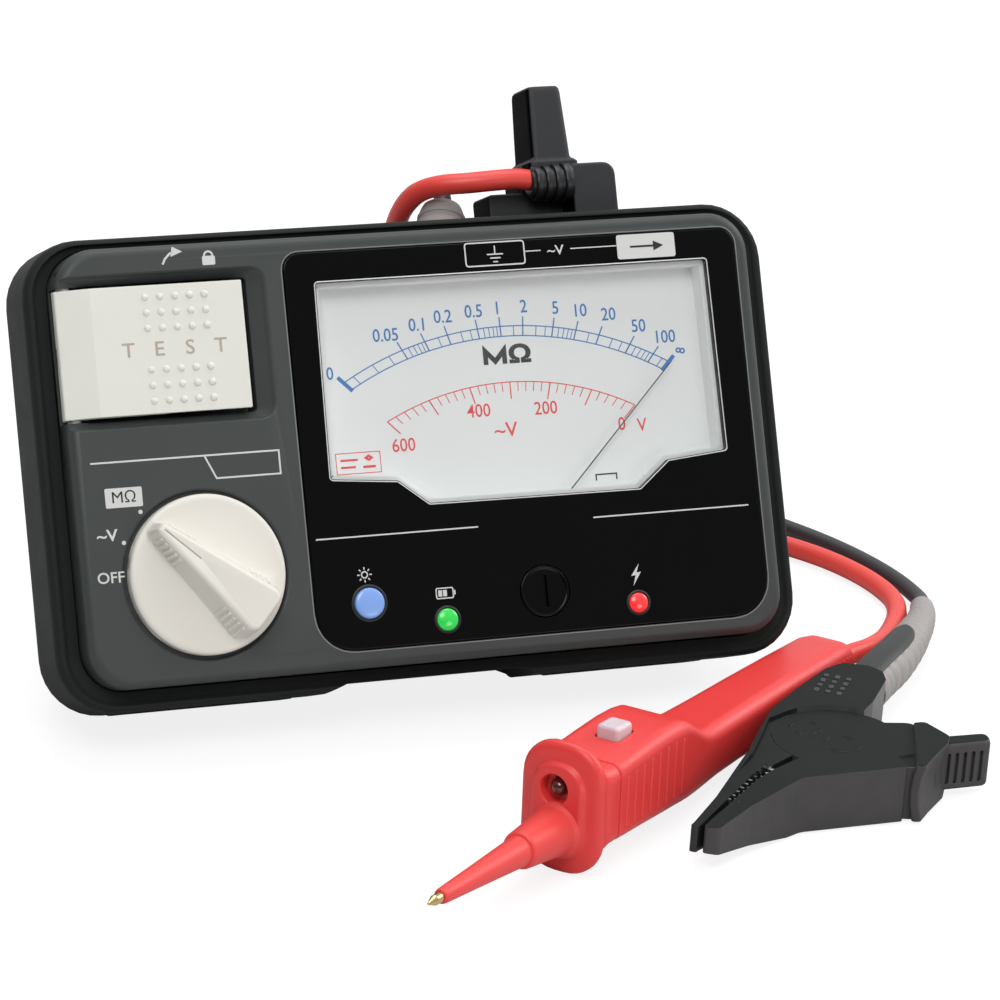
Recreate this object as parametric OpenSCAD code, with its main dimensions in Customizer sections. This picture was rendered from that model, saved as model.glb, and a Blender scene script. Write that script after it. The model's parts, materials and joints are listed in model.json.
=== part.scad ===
// Analogue insulation resistance tester on its tilt stand, with a red probe lead and a black clip lead.
// Case pieces are drawn in the case's own axes: X right, Y up the face, Z out of the face, origin at the
// middle of the face. in_case() then leans the case back and lifts it onto its feet.

/* [Stance] */
// Angle that the face leans back from upright
lean = 26.5; // [20:0.5:32]
// Shift of the case along Y that centres the standing tester
case_y = -25.15; // [-30:0.05:-20]

/* [Case] */
// Width over the protector
case_w = 154.6; // [150:0.2:158]
// Height over the protector
case_h = 92; // [90:0.5:96]
// Height of the protector's middle above the face's middle
case_shift = -0.85; // [-1.5:0.05:0]
// Corner radius of the protector
case_r = 11.5; // [10:0.5:15]
// Depth of the protector's front ridge behind the face
ridge_z = 5.6; // [5:0.1:6.5]
// Depth of the seam between the protector and the rear case
seam_z = 21; // [20:0.5:23]
// Depth of the flat back behind the face
back_z = 40; // [39:0.5:42]
// Wall thickness of the case shells
wall = 2.2; // [2:0.1:2.6]
// Width of the front case
face_w = 144.4; // [143:0.2:145]
// Height of the front case
face_h = 85.2; // [84:0.2:86]
// Corner radius of the front case
face_r = 8; // [6:0.5:9]

/* [Front panel and window] */
// Left edge of the black panel
panel_left = -26.6; // [-27:0.1:-26]
// Right edge of the black panel
panel_right = 69; // [68:0.1:69.5]
// Top edge of the black panel
panel_top = 39.3; // [39:0.1:39.5]
// Bottom edge of the black panel
panel_bottom = -39.1; // [-39.5:0.1:-39]
// Thickness of the black panel
panel_t = 1.5; // [1.2:0.1:1.6]
// Depth of the scale plate's face behind the panel
scale_z = 5.8; // [5.4:0.1:6.2]

/* [Meter] */
// Pointer pivot, right of the face's middle
pivot_x = 20.2; // [19:0.1:21]
// Pointer pivot, above the face's middle
pivot_y = -21; // [-22:0.1:-20]
// Length of the pointer from its pivot
pointer_l = 48.7; // [46:0.1:49]
// Angle of the pointer at rest, right of upright
pointer_rest = 45; // [40:1:46]
// Radius of the zero adjuster's cap
adjuster_r = 5.2; // [5:0.1:5.4]

/* [Controls] */
// Radius of the function knob's disc
knob_r = 15.8; // [15:0.1:16]
// Height of the knob's grip above the face
knob_top = 8; // [7:0.5:9]
// Direction of the knob's pointer tip from the X axis
knob_angle = 137.5; // [130:0.5:140]
// Radius of the knob shaft
shaft_r = 3; // [2.5:0.1:3.2]
// Left edge of the measure lever
lever_left = -72.4; // [-72.4:0.1:-72]
// Right edge of the measure lever
lever_right = -35.6; // [-36:0.1:-35.4]
// Bottom edge of the measure lever
lever_bottom = 9.8; // [9.6:0.1:10]
// Top edge of the measure lever
lever_top = 34.8; // [34.6:0.1:35]
// Radius of the light button
button_r = 3.05; // [3:0.05:3.2]

/* [Stand and battery] */
// Radius of the tilt stand's wire
wire_r = 1.6; // [1.4:0.1:1.8]
// Half of the distance between the stand's legs
stand_half = 56; // [55:0.1:56.2]
// Height of the stand's pivot above the face's middle
stand_y = 14; // [12:0.5:15]
// Length of the stand's legs
stand_l = 55; // [54:0.5:55]
// Radius of an AA cell
cell_r = 7.1; // [7:0.05:7.15]
// Length of an AA cell
cell_l = 50.2; // [49.5:0.1:50.4]

/* [Leads] */
// Diameter of the red lead
red_d = 4.3; // [4.2:0.1:4.4]
// Diameter of the black lead
black_d = 3.6; // [3.5:0.1:3.7]
// Radius of the terminal pins
pin_r = 2; // [1.8:0.1:2]
// Heading of the probe from the X axis
probe_heading = 37.3; // [36:0.1:39]
// Slope of the probe down towards its cord
probe_slope = 2.2; // [2:0.1:2.4]
// Roll of the probe about its own length, away from the viewer
probe_roll = 3; // [1:0.5:7]

/* [Hidden] */
$fn = 48;
sole_y = 46.95;                  // the feet below the face's middle
case_z = sole_y * cos(lean) + 31 * sin(lean);
fit = 0.06;                      // running clearance on a radius
knob_x = -47.8;
knob_y = -21.9;
light_pos = [-15.4, -30.1];
battery_led_pos = [0.4, -34.6];
hazard_led_pos = [40.8, -34.6];
adjuster_pos = [21.2, -30.7];
screw_pos = [[-60, 33], [61, 31], [-60, -34], [61, -34]];
hinge_x = -70.2;                 // lever pin
hinge_z = -3.6;
recess_floor = -8.4;
stand_z = -42.2;
foot_x = [[-62, -26], [30, 62]];
battery_x = -22.8;               // middle of the battery compartment
cover_w = 61.2;
cover_bottom = -34;
cover_top = 26;
cover_screw_y = -30.9;
cell_z = -28.6;
cell_pitch = 14.4;
line_pins = [30.5, 49];
earth_x = 17.6;
terminal_z = -28;
probe_pos = [1.9, -102.05, 13.8];
clip_h = 12.6;                   // thickness of the clip's body
clip_pivot = [67, -82.4];
clip_pin_r = 1.5;
leaf_r = 12.6;                   // hinge leaves of the clip
coil_pos = [45, 84];
red_coil_r = 24;
black_coil_r = 22.3;

function unit(v) = v / norm(v);
function to_world(p) = [p[0], case_y + p[1] * sin(lean) - p[2] * cos(lean),
    case_z + p[1] * cos(lean) + p[2] * sin(lean)];

stand_pivot = to_world([0, stand_y, stand_z]);
stand_open = acos((stand_pivot[2] - wire_r) / stand_l);

// The red lead: first from the plug's relief, in case axes, then down to the stored coil.
red_plug_route = concat(
    [for (p = [[34.6, 53.5, -20.6], [31.4, 54, -20.7], [27, 54, -21.2], [21.8, 53.9, -22.3], [16.4, 54, -24.8],
        [13, 53.3, -28.4], [11, 51, -32.6], [10.6, 48.2, -37.4], [10.8, 44.6, -42.4]]) to_world(p)],
    [[11.2, 42, 62], [11.6, 45.4, 50], [12.1, 49, 38], [12.7, 54, 25], [13.5, 60.5, 12.5], [14.6, 68, 4.6],
        [15.9, 76, 2.4], [16.7, 82, 2.2]]);
// The red lead from the coil, round the right of the tester, to the probe's tail.
red_probe_route = [[73.4, 79, 6.2], [74, 70, 4.4], [76.5, 61, 2.6], [81.5, 52.5, 2.2], [88.4, 45.2, 2.2],
    [97, 38.4, 2.2], [104.8, 31.6, 2.2], [110.4, 23.6, 2.2], [114.2, 15.2, 2.2], [116.3, 6.8, 2.2],
    [116.6, -1.4, 2.2], [114.4, -8.6, 2.4], [110.5, -15.3, 2.7], [104.7, -23.5, 3.8], [97.6, -31.3, 5.7],
    [91.2, -35.4, 6.6]];
// The black lead from the earth plug down to its coil, which lies on the red one.
black_plug_route = concat(
    [for (p = [[18.3, 49.8, -30.3], [19.2, 52.4, -31.9], [19.6, 54.6, -35], [18.7, 55.5, -39.4],
        [17.2, 55, -44.2], [15.8, 52.6, -48.6], [14.9, 48.8, -52]]) to_world(p)],
    [[14.2, 46.4, 64], [13.6, 49.4, 52], [12.8, 53, 40], [12.8, 57.6, 29], [14.2, 63.5, 20],
        [16.2, 70.6, 14.2], [17.2, 78.6, 11.8]]);
// The black lead from its coil to the clip's boot.
black_clip_route = [[65.6, 102.6, 13.9], [71.4, 96.6, 13.2], [77.2, 90, 10.8], [82.6, 82.6, 7.2], [88, 74.8, 4],
    [93.6, 66.8, 2.2],
    [99.6, 58.4, 1.8], [105.4, 49.4, 1.8], [110.6, 40.6, 1.8], [115, 32.2, 1.8], [118.6, 23.4, 1.8],
    [121.2, 14.6, 1.8], [122.6, 6.4, 1.8], [122.6, -1.8, 2], [121, -7.4, 2.6]];
// The clip's boot from the cord's end to the clip.
boot_route = [[121.3, -6, 2.5], [118.1, -13.1, 3.6], [113.6, -20.9, 4.9], [108.6, -28.4, 6.3], [103.7, -35.3, 7.3],
    [96.9, -43.5, 7.8], [90, -50.2, 7.7], [85.6, -54.4, 7.3]];

// Catmull-Rom curve through the route's points, parts steps to each span
function curve(p, parts) = concat(
    [for (i = [0:len(p) - 2], k = [0:parts - 1])
        let(t = k / parts,
            a = i > 0 ? p[i - 1] : 2 * p[0] - p[1], b = p[i], c = p[i + 1],
            d = i < len(p) - 2 ? p[i + 2] : 2 * p[len(p) - 1] - p[len(p) - 2])
        0.5 * (2 * b + (c - a) * t + (2 * a - 5 * b + 4 * c - d) * t * t
            + (3 * b - a - 3 * c + d) * t * t * t)],
    [p[len(p) - 1]]);
function tangents(p) = [for (i = [0:len(p) - 1])
    unit(p[min(i + 1, len(p) - 1)] - p[max(i - 1, 0)])];
function carried(t, n, i = 0) = i >= len(t) ? [] :
    let(m = unit(n - (n * t[i]) * t[i])) concat([m], carried(t, m, i + 1));

// Tube that follows path, radii[i] at ring i
module tube(path, radii, sides = 8) {
    t = tangents(path);
    start = abs(t[0][2]) < 0.9 ? [0, 0, 1] : [0, 1, 0];
    n = carried(t, start);
    rings = len(path);
    points = [for (i = [0:rings - 1], j = [0:sides - 1])
        path[i] + radii[i] * (cos(360 * j / sides) * n[i] + sin(360 * j / sides) * cross(t[i], n[i]))];
    walls = [for (i = [0:rings - 2], j = [0:sides - 1])
        let(a = i * sides + j, b = i * sides + (j + 1) % sides)
        each [[a, a + sides, b + sides], [a, b + sides, b]]];
    first = [for (j = [0:sides - 1]) j];
    last = [for (j = [sides - 1:-1:0]) (rings - 1) * sides + j];
    polyhedron(points, concat(walls, [first, last]));
}

module even_tube(path, r) tube(path, [for (p = path) r]);

module in_case() translate([0, case_y, case_z]) rotate([90 - lean, 0, 0]) children();

module in_probe() translate(probe_pos) rotate([0, probe_slope, probe_heading])
    rotate([-probe_roll, 0, 0]) children();

// Rectangle with round corners, about its middle
module round_rect(w, h, r) {
    square([w - 2 * r, h], center = true);
    square([w, h - 2 * r], center = true);
    for (x = [-1, 1], y = [-1, 1]) translate([x * (w / 2 - r), y * (h / 2 - r)]) circle(r);
}

// Rectangle from corner to corner
module rect(x0, y0, x1, y1) translate([x0, y0]) square([x1 - x0, y1 - y0]);

// Upright slab of the outline between two depths
module slab(z0, z1) translate([0, 0, z0]) linear_extrude(z1 - z0) children();

// Thin slice of the outer case outline, smaller by inset
module case_slice(z, inset) slab(z - 0.1, z) translate([0, case_shift])
    round_rect(case_w - 2 * inset, case_h - 2 * inset, case_r - inset * 0.6, $fn = 32);

module panel_outline(grow = 0) {
    top_r = 3.5 + grow;
    low_r = 8 + grow;
    x0 = panel_left - grow;
    x1 = panel_right + grow;
    y0 = panel_bottom - grow;
    y1 = panel_top + grow;
    rect(x0 + low_r, y0, x1 - low_r, y1);
    rect(x0, y0 + low_r, x1, y1 - top_r);
    rect(x0 + top_r, y1 - top_r - 1, x1 - top_r, y1);
    for (x = [x0 + low_r, x1 - low_r]) translate([x, y0 + low_r]) circle(low_r);
    for (x = [x0 + top_r, x1 - top_r]) translate([x, y1 - top_r]) circle(top_r);
}

// The window's outline: straight top, and a lower edge that drops in two slants
window_points = [[-20.2, 33.1], [-20.8, -5.4], [-7.1, -6.6], [-0.95, -11.5], [43.5, -11.8],
    [50.1, -6.55], [62.8, -5.4], [62.4, 33.1]];

module protector() color([0.2, 0.21, 0.21]) in_case() difference() {
    hull() {
        case_slice(-ridge_z, 1.3);
        slab(-seam_z + 1.2, -ridge_z - 1.7) translate([0, case_shift])
            round_rect(case_w, case_h, case_r, $fn = 32);
        case_slice(-seam_z + 0.1, 0.5);
    }
    slab(-9, 0) translate([0, -0.75]) round_rect(150.8, 89.5, 10);
    slab(-seam_z - 1, -8) round_rect(face_w + 1.6, face_h + 0.8, face_r + 0.5);
    // step between the feet
    slab(-seam_z - 1, 0) polygon([[-24, -52], [-24, -46.9], [-19, -45.1], [18.2, -45.1], [19.7, -46.9], [19.7, -52]]);
}

module foot_profile(x0, x1) translate([x0, 0, 0]) rotate([90, 0, 90]) linear_extrude(x1 - x0)
    polygon([[-sole_y, -seam_z - 0.2], [-sole_y, -31], [-sole_y + 9 * tan(lean), -back_z],
        [-39.6, -back_z], [-41.8, -37], [-44, -28], [-45, -seam_z - 0.2]]);

module rubber_feet() color([0.1, 0.1, 0.1]) in_case()
    for (f = foot_x) foot_profile(f[0], f[1]);

module rear_case() color([0.17, 0.18, 0.18]) in_case() difference() {
    union() {
        difference() {
            hull() {
                case_slice(-seam_z, 0.8);
                case_slice(-28, 2);
                case_slice(-37, 5.4);
                case_slice(-back_z + 0.1, 8.4);
            }
            hull() {
                case_slice(-seam_z + 0.2, 3.2);
                case_slice(-28, 2 + wall);
                case_slice(-36.6, 5.4 + wall);
                case_slice(-back_z + wall + 0.1, 7 + wall);
            }
        }
        // tongue that nests under the front case's skirt
        slab(-seam_z - 1, -14.6) difference() {
            round_rect(face_w, face_h - 0.2, face_r);
            round_rect(face_w - 4, face_h - 4.2, face_r - 2);
        }
        for (p = screw_pos) translate([p[0], p[1], -back_z + 1]) cylinder(r = 3.4, h = 18.9);
        translate([battery_x - 8, cover_screw_y, -back_z + 1]) cylinder(r = 2.3, h = 10);
        // lugs for the stand's wire
        for (s = [-1, 1]) {
            translate([s * 60.8 - 2.8, stand_y, stand_z]) rotate([0, 90, 0]) cylinder(r = 2.9, h = 5.6);
            slab(stand_z, -back_z + 1) translate([s * 60.8, stand_y]) square([5.6, 5.8], center = true);
        }
    }
    for (p = screw_pos) {
        translate([p[0], p[1], -back_z - 1]) cylinder(r = 1.6, h = 22);
        translate([p[0], p[1], -back_z - 1]) cylinder(r = 3.1, h = 3.4);
    }
    translate([battery_x - 8, cover_screw_y, -back_z - 1]) cylinder(r = 1.25, h = 13);
    slab(-back_z - 1, -back_z + 1.25) rect(battery_x - cover_w / 2 - 0.1, cover_bottom - 0.1,
        battery_x + cover_w / 2 + 0.1, cover_top + 0.1);
    slab(-back_z - 1, -30) rect(battery_x - 28.9, -27, battery_x + 28.9, 24.6);
    slab(-34.1, -21.9) rect(24.3, 38, 56.2, 50);
    slab(-34.1, -21.9) rect(11.3, 38, 23.9, 50);
    for (f = foot_x) foot_profile(f[0] - 0.05, f[1] + 0.05);
    slab(-30, -15) rect(-19, -52, 19, -44.8);
    for (s = [-1, 1]) translate([s * 60.8 - 4, stand_y, stand_z]) rotate([0, 90, 0])
        cylinder(r = wire_r + fit, h = 8);
}

module front_case() color([0.26, 0.27, 0.27]) in_case() difference() {
    union() {
        difference() {
            hull() {
                slab(-0.1, 0) round_rect(face_w - 2.8, face_h - 2.8, face_r - 1, $fn = 32);
                slab(-0.7, -0.6) round_rect(face_w - 1, face_h - 1, face_r, $fn = 32);
                slab(-14.5, -1.8) round_rect(face_w, face_h, face_r, $fn = 32);
            }
            slab(-15, -2.4) round_rect(face_w - 4, face_h - 4, face_r - 2);
        }
        // the lever's recess, a tray under the face
        slab(-9.6, -1) rect(-71.4, 6.4, -29.4, 38.4);
        // bosses for the case screws
        for (p = screw_pos) translate([p[0], p[1], -20]) cylinder(r = 3.4, h = p[0] > 0 && p[1] > 0 ? 12 : 18.5);
        slab(-20, -8) rect(61, 30, face_w / 2 - 2.4, 32);
    }
    slab(-panel_t, 1) panel_outline(0.12);
    slab(-3, 1) rect(-23, -26, 65.5, 36.2);
    // lever recess: open at the left, where the lever's hinge lies
    slab(recess_floor, 1) rect(-67.9, 7.8, -30.8, 37);
    slab(-6.8, 1) rect(-73, 9.2, -67, 35.4);
    translate([hinge_x, 6, hinge_z]) rotate([-90, 0, 0]) cylinder(r = 1.25, h = 33);
    translate([-44, 22.3, -11]) cylinder(r = 1.3, h = 5);
    // the knob's seat and shaft
    translate([knob_x, knob_y, -1.2]) cylinder(r = knob_r + 0.6, h = 3, $fn = 64);
    translate([knob_x, knob_y, -3]) cylinder(r = shaft_r + fit, h = 3);
    translate([light_pos[0], light_pos[1], -3]) cylinder(r = button_r + fit, h = 3);
    translate([battery_led_pos[0], battery_led_pos[1], -3]) cylinder(r = 2.25, h = 3);
    translate([hazard_led_pos[0], hazard_led_pos[1], -3]) cylinder(r = 2.05, h = 3);
    translate([adjuster_pos[0], adjuster_pos[1], -3]) cylinder(r = 2.2 + fit, h = 3);
    for (p = screw_pos) translate([p[0], p[1], -21]) cylinder(r = 1.5, h = 9);
}

module front_panel() color([0.04, 0.04, 0.05]) in_case() difference() {
    slab(-panel_t, 0) panel_outline();
    slab(-panel_t - 1, 1) polygon(window_points);
    translate([light_pos[0], light_pos[1], -3]) cylinder(r = button_r + fit, h = 5);
    translate([battery_led_pos[0], battery_led_pos[1], -3]) cylinder(r = 2.25, h = 5);
    translate([hazard_led_pos[0], hazard_led_pos[1], -3]) cylinder(r = 2.05, h = 5);
    translate([adjuster_pos[0], adjuster_pos[1], -3]) cylinder(r = adjuster_r + fit, h = 5);
}

module window_lens() color([0.85, 0.9, 0.92, 0.4]) in_case() {
    slab(-1.3, -0.2) polygon([for (p = window_points) p * 0.997 + [0.06, 0.03]]);
    // lip that holds the lens behind the panel
    slab(-2.5, -1.6) difference() {
        rect(-22.4, -13, 64.9, 35.6);
        rect(-19.4, -4.4, 61.4, 31.8);
        rect(0, -10.4, 43, 0);
    }
    slab(-1.7, -1.2) difference() {
        polygon([for (p = window_points) p * 0.997 + [0.06, 0.03]]);
        rect(-19.4, -4.4, 61.4, 31.8);
        rect(0, -10.4, 43, 0);
    }
}

module scale_plate() color([0.92, 0.92, 0.92]) in_case()
    slab(-scale_z - 0.8, -scale_z) rect(-22.8, -12.8, 65.2, 35.8);

module pointer() color([0.15, 0.15, 0.16]) in_case() translate([pivot_x, pivot_y, 0])
    rotate(-pointer_rest) {
        slab(-4.4, -4) polygon([[-0.45, -6], [0.45, -6], [0.45, 0], [0.16, pointer_l], [-0.16, pointer_l],
            [-0.45, 0]]);
        translate([0, 0, -6.6]) cylinder(r = 1.8, h = 2.8);
        translate([0, -5.6, -4.8]) cylinder(r = 1.2, h = 1.2);
    }

module taut_band() color("silver") in_case() translate([pivot_x, pivot_y, -10.5])
    cylinder(r = 0.42, h = 3.9, $fn = 24);

module moving_coil() color([0.72, 0.4, 0.2]) in_case() translate([pivot_x, pivot_y, 0]) difference() {
    translate([0, 0, -19]) cylinder(r = 7.6, h = 8.5);
    translate([0, 0, -20]) cylinder(r = 6.5, h = 8.9);
}

module meter_magnet() color([0.5, 0.5, 0.52]) in_case() translate([pivot_x, pivot_y, 0]) {
    translate([0, 0, -21.5]) cylinder(r = 6.2, h = 10.2);
    translate([0, 0, -20]) difference() {
        cylinder(r = 11, h = 9.5);
        translate([0, 0, -1]) cylinder(r = 7.8, h = 12);
    }
}

module meter_body() color([0.12, 0.12, 0.13]) in_case() difference() {
    union() {
        slab(-23, -10.2) rect(8.2, -36, 36, -9);
        slab(-10.4, -9) rect(8.2, -36, 36, -32);
        slab(-10.4, -9) rect(8.2, -12, 36, -9);
        slab(-9.8, -9) rect(pivot_x - 1.6, -33, pivot_x + 1.6, -9);
    }
    translate([pivot_x, pivot_y, -20]) cylinder(r = 11.06, h = 10.2);
    translate([pivot_x, pivot_y, -21.5]) cylinder(r = 6.26, h = 2);
    translate([pivot_x, pivot_y, -12]) cylinder(r = 0.5, h = 5, $fn = 24);
}

module zero_adjuster() color([0.06, 0.06, 0.07]) in_case() translate([adjuster_pos[0], adjuster_pos[1], 0])
    difference() {
        union() {
            translate([0, 0, -panel_t + 0.1]) cylinder(r = adjuster_r, h = 1.7);
            translate([0, 0, -8.8]) cylinder(r = 2.2, h = 8);
        }
        slab(-0.5, 1) square([1.2, 6.4], center = true);
        translate([0, -3.9, -0.2]) cylinder(r = 0.45, h = 1, $fn = 24);
    }

module light_button() color([0.5, 0.65, 0.9]) in_case() translate([light_pos[0], light_pos[1], 0]) {
    translate([0, 0, -2.6]) cylinder(r = button_r, h = 3.5);
    translate([0, 0, -3.5]) cylinder(r = 3.9, h = 0.95);
}

module light_switch() color([0.2, 0.2, 0.2]) in_case() translate([light_pos[0], light_pos[1], 0]) {
    slab(-7.2, -5.2) square(6, center = true);
    translate([0, 0, -5.3]) cylinder(r = 1.4, h = 0.7);
}

module display_board() color([0.1, 0.35, 0.18]) in_case() difference() {
    slab(-8.4, -7.2) rect(-22, -38.6, 46, -27.2);
    translate([adjuster_pos[0], adjuster_pos[1], -9]) cylinder(r = 2.8, h = 3);
}

module panel_led(pos, r, tint) color(tint) in_case() translate([pos[0], pos[1], 0]) {
    translate([0, 0, -7.2]) cylinder(r = r, h = 6.9);
    intersection() {
        translate([0, 0, -1.5]) sphere(r = r * 1.15, $fn = 32);
        translate([0, 0, -1.5]) cylinder(r = r, h = 4);
    }
}

module battery_led() panel_led(battery_led_pos, 2.2, [0.15, 0.75, 0.3]);

module hazard_led() panel_led(hazard_led_pos, 2, [0.92, 0.2, 0.18]);

module knob() color([0.88, 0.85, 0.79]) in_case() translate([knob_x, knob_y, 0]) difference() {
    union() {
        translate([0, 0, -1]) cylinder(r = knob_r - 0.2, h = 2.4, $fn = 72);
        translate([0, 0, 1.4]) cylinder(r1 = knob_r - 0.2, r2 = knob_r - 0.9, h = 0.6, $fn = 72);
        rotate(knob_angle) hull() {
            slab(1.2, 2.6) polygon([[14.6, -1.5], [14.6, 1.5], [-11, 7], [-13.8, 4.8], [-13.8, -4.8], [-11, -7]]);
            slab(knob_top - 1, knob_top) polygon([[14.3, -1], [14.3, 1], [-12, 4.6], [-13.4, 3.6],
                [-13.4, -3.6], [-12, -4.6]]);
        }
    }
    translate([0, 0, -2]) cylinder(r = shaft_r, h = 6);
    rotate(knob_angle) slab(knob_top - 0.5, knob_top + 1) rect(3, -0.35, 13, 0.35);
}

module knob_shaft() color("silver") in_case() translate([knob_x, knob_y, -14]) cylinder(r = shaft_r, h = 18);

module rotary_switch() color([0.16, 0.17, 0.2]) in_case() translate([knob_x, knob_y, 0]) difference() {
    union() {
        translate([0, 0, -14.4]) cylinder(r = 11, h = 10.6);
        translate([0, 0, -4]) cylinder(r = 5.4, h = 1.5);
    }
    translate([0, 0, -14]) cylinder(r = shaft_r + fit, h = 13);
}

module measure_lever() color([0.88, 0.87, 0.84]) in_case() difference() {
    union() {
        translate([0, lever_top, 0]) rotate([90, 0, 0]) linear_extrude(lever_top - lever_bottom)
            polygon([[lever_left, -1.9], [-65.9, 0.45], [lever_right + 0.5, 0.1], [lever_right, -0.4],
                [lever_right, -3], [-66.6, -3], [-68, -5], [lever_left, -3.6]]);
        translate([hinge_x, lever_bottom, hinge_z]) rotate([-90, 0, 0]) cylinder(r = 2.2, h = lever_top - lever_bottom);
        for (i = [0:4], j = [0:2], y = [12.3, 26.4])
            translate([-55 + 3 * i, y + 3.03 * j, -0.1]) cylinder(r = 0.75, h = 0.75, $fn = 16);
    }
    translate([hinge_x, 5, hinge_z]) rotate([-90, 0, 0]) cylinder(r = 1.25 + fit, h = 33);
    translate([-73, 19.7, -6.5]) cube([6.6, 4.6, 5.3]);
}

module measure_pin() color("silver") in_case()
    translate([hinge_x, 6, hinge_z]) rotate([-90, 0, 0]) cylinder(r = 1.25, h = 32.6);

module measure_spring() color([0.6, 0.6, 0.62]) in_case()
    translate([hinge_x, 20, hinge_z]) rotate([-90, 0, 0]) difference() {
        cylinder(r = 2.2, h = 4);
        translate([0, 0, -1]) cylinder(r = 1.35, h = 6);
    }

module measure_switch() color([0.16, 0.17, 0.2]) in_case() {
    slab(-14.4, -9.8) rect(-50, 19.3, -38, 25.3);
    translate([-44, 22.3, -10]) cylinder(r = 1.1, h = 4.7);
}

module main_board() color([0.1, 0.35, 0.18]) in_case() difference() {
    slab(-16, -14.4) rect(-69, -38, -9, 36);
    for (p = [screw_pos[0], screw_pos[2]]) translate([p[0], p[1], -17]) cylinder(r = 3.9, h = 4);
}

module power_board() color([0.1, 0.35, 0.18]) in_case() {
    difference() {
        slab(-27, -25.4) rect(9.6, -38, 66, 20);
        translate([61, -34, -28]) cylinder(r = 3.9, h = 4);
    }
    // smoothing capacitors
    for (y = [-30, -19, -8]) translate([17, y, -36]) cylinder(r = 4, h = 9.1);
}

module transformer() color([0.75, 0.6, 0.2]) in_case() {
    slab(-36.5, -27) rect(30, -22, 54, -2);
    slab(-35, -28.5) rect(34, -26, 50, 2);
}

module battery_box() color([0.14, 0.14, 0.15]) in_case() difference() {
    slab(-37.6, -17.2) rect(battery_x - 29.9, -28.2, battery_x + 29.9, 26.2);
    slab(-38, -18.6) rect(battery_x - 28.9, -27, battery_x + 28.9, 25);
}

module batteries() color([0.2, 0.45, 0.75]) in_case() for (i = [0:3])
    translate([battery_x + (i - 1.5) * cell_pitch, -1 + (i % 2 == 0 ? 1 : -1) * 0.2, cell_z])
        rotate([i % 2 == 0 ? -90 : 90, 0, 0]) translate([0, 0, -cell_l / 2 - 0.2]) {
            cylinder(r = cell_r, h = cell_l - 1.2);
            cylinder(r = 2.7, h = cell_l);
        }

module battery_contacts() color("silver") in_case() {
    for (x = [-1, 1], y = [-27, 24.4]) translate([battery_x + x * cell_pitch, 0, 0])
        slab(-34.5, -22.5) rect(-12, y, 12, y + 0.6);
}

module battery_cover() color([0.15, 0.16, 0.16]) in_case() difference() {
    union() {
        slab(-back_z, -back_z + 1.2) rect(battery_x - cover_w / 2, cover_bottom,
            battery_x + cover_w / 2, cover_top);
        for (x = [-20, 0, 20]) slab(-back_z + 1, -back_z + 2.6) rect(battery_x + x - 0.8, -26, battery_x + x + 0.8, 23);
    }
    translate([battery_x - 8, cover_screw_y, -back_z - 1]) cylinder(r = 1.25, h = 4);
}

module battery_cover_screw() color("silver") in_case()
    translate([battery_x - 8, cover_screw_y, -back_z]) difference() {
    union() {
        translate([0, 0, -0.9]) cylinder(r = 2.6, h = 0.9);
        cylinder(r = 1.2, h = 8);
    }
    slab(-2, -0.5) square([3.4, 0.6], center = true);
    slab(-2, -0.5) square([0.6, 3.4], center = true);
}

module case_screws() color("silver") in_case() for (p = screw_pos) translate([p[0], p[1], -37.6]) difference() {
    union() {
        translate([0, 0, -1.6]) cylinder(r = 2.8, h = 1.6);
        cylinder(r = 1.5, h = 24);
    }
    slab(-3, -0.7) square([3.6, 0.7], center = true);
    slab(-3, -0.7) square([0.7, 3.6], center = true);
}

// Wire bail: two legs, a foot bar, and an outward pin at each top end
module tilt_stand() color([0.55, 0.56, 0.58]) translate(stand_pivot) rotate([stand_open, 0, 0]) {
    bend = 5;
    for (s = [-1, 1]) {
        translate([s * stand_half, 0, -stand_l + bend]) cylinder(r = wire_r, h = stand_l - bend);
        translate([s * stand_half, 0, 0]) sphere(r = wire_r, $fn = 24);
        translate([s > 0 ? stand_half : -63.4, 0, 0]) rotate([0, 90, 0]) cylinder(r = wire_r, h = 63.4 - stand_half);
        translate([s * (stand_half - bend), 0, -stand_l + bend]) rotate([90, 0, 0]) mirror([s > 0 ? 0 : 1, 0, 0])
            rotate(-90) rotate_extrude(angle = 90) translate([bend, 0]) circle(wire_r, $fn = 24);
    }
    translate([-stand_half + bend, 0, -stand_l]) rotate([0, 90, 0]) cylinder(r = wire_r, h = 2 * (stand_half - bend));
}

module line_socket() color([0.12, 0.12, 0.13]) in_case() difference() {
    slab(-34, -22) rect(24.4, 29, 56.1, 43.4);
    for (x = line_pins) translate([x, 28, terminal_z]) rotate([-90, 0, 0]) cylinder(r = pin_r + 0.05, h = 20);
}

module earth_socket() color([0.12, 0.12, 0.13]) in_case() difference() {
    slab(-34, -22) rect(11.4, 29, 23.8, 43.4);
    translate([earth_x, 28, terminal_z]) rotate([-90, 0, 0]) cylinder(r = pin_r + 0.05, h = 20);
}

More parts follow.
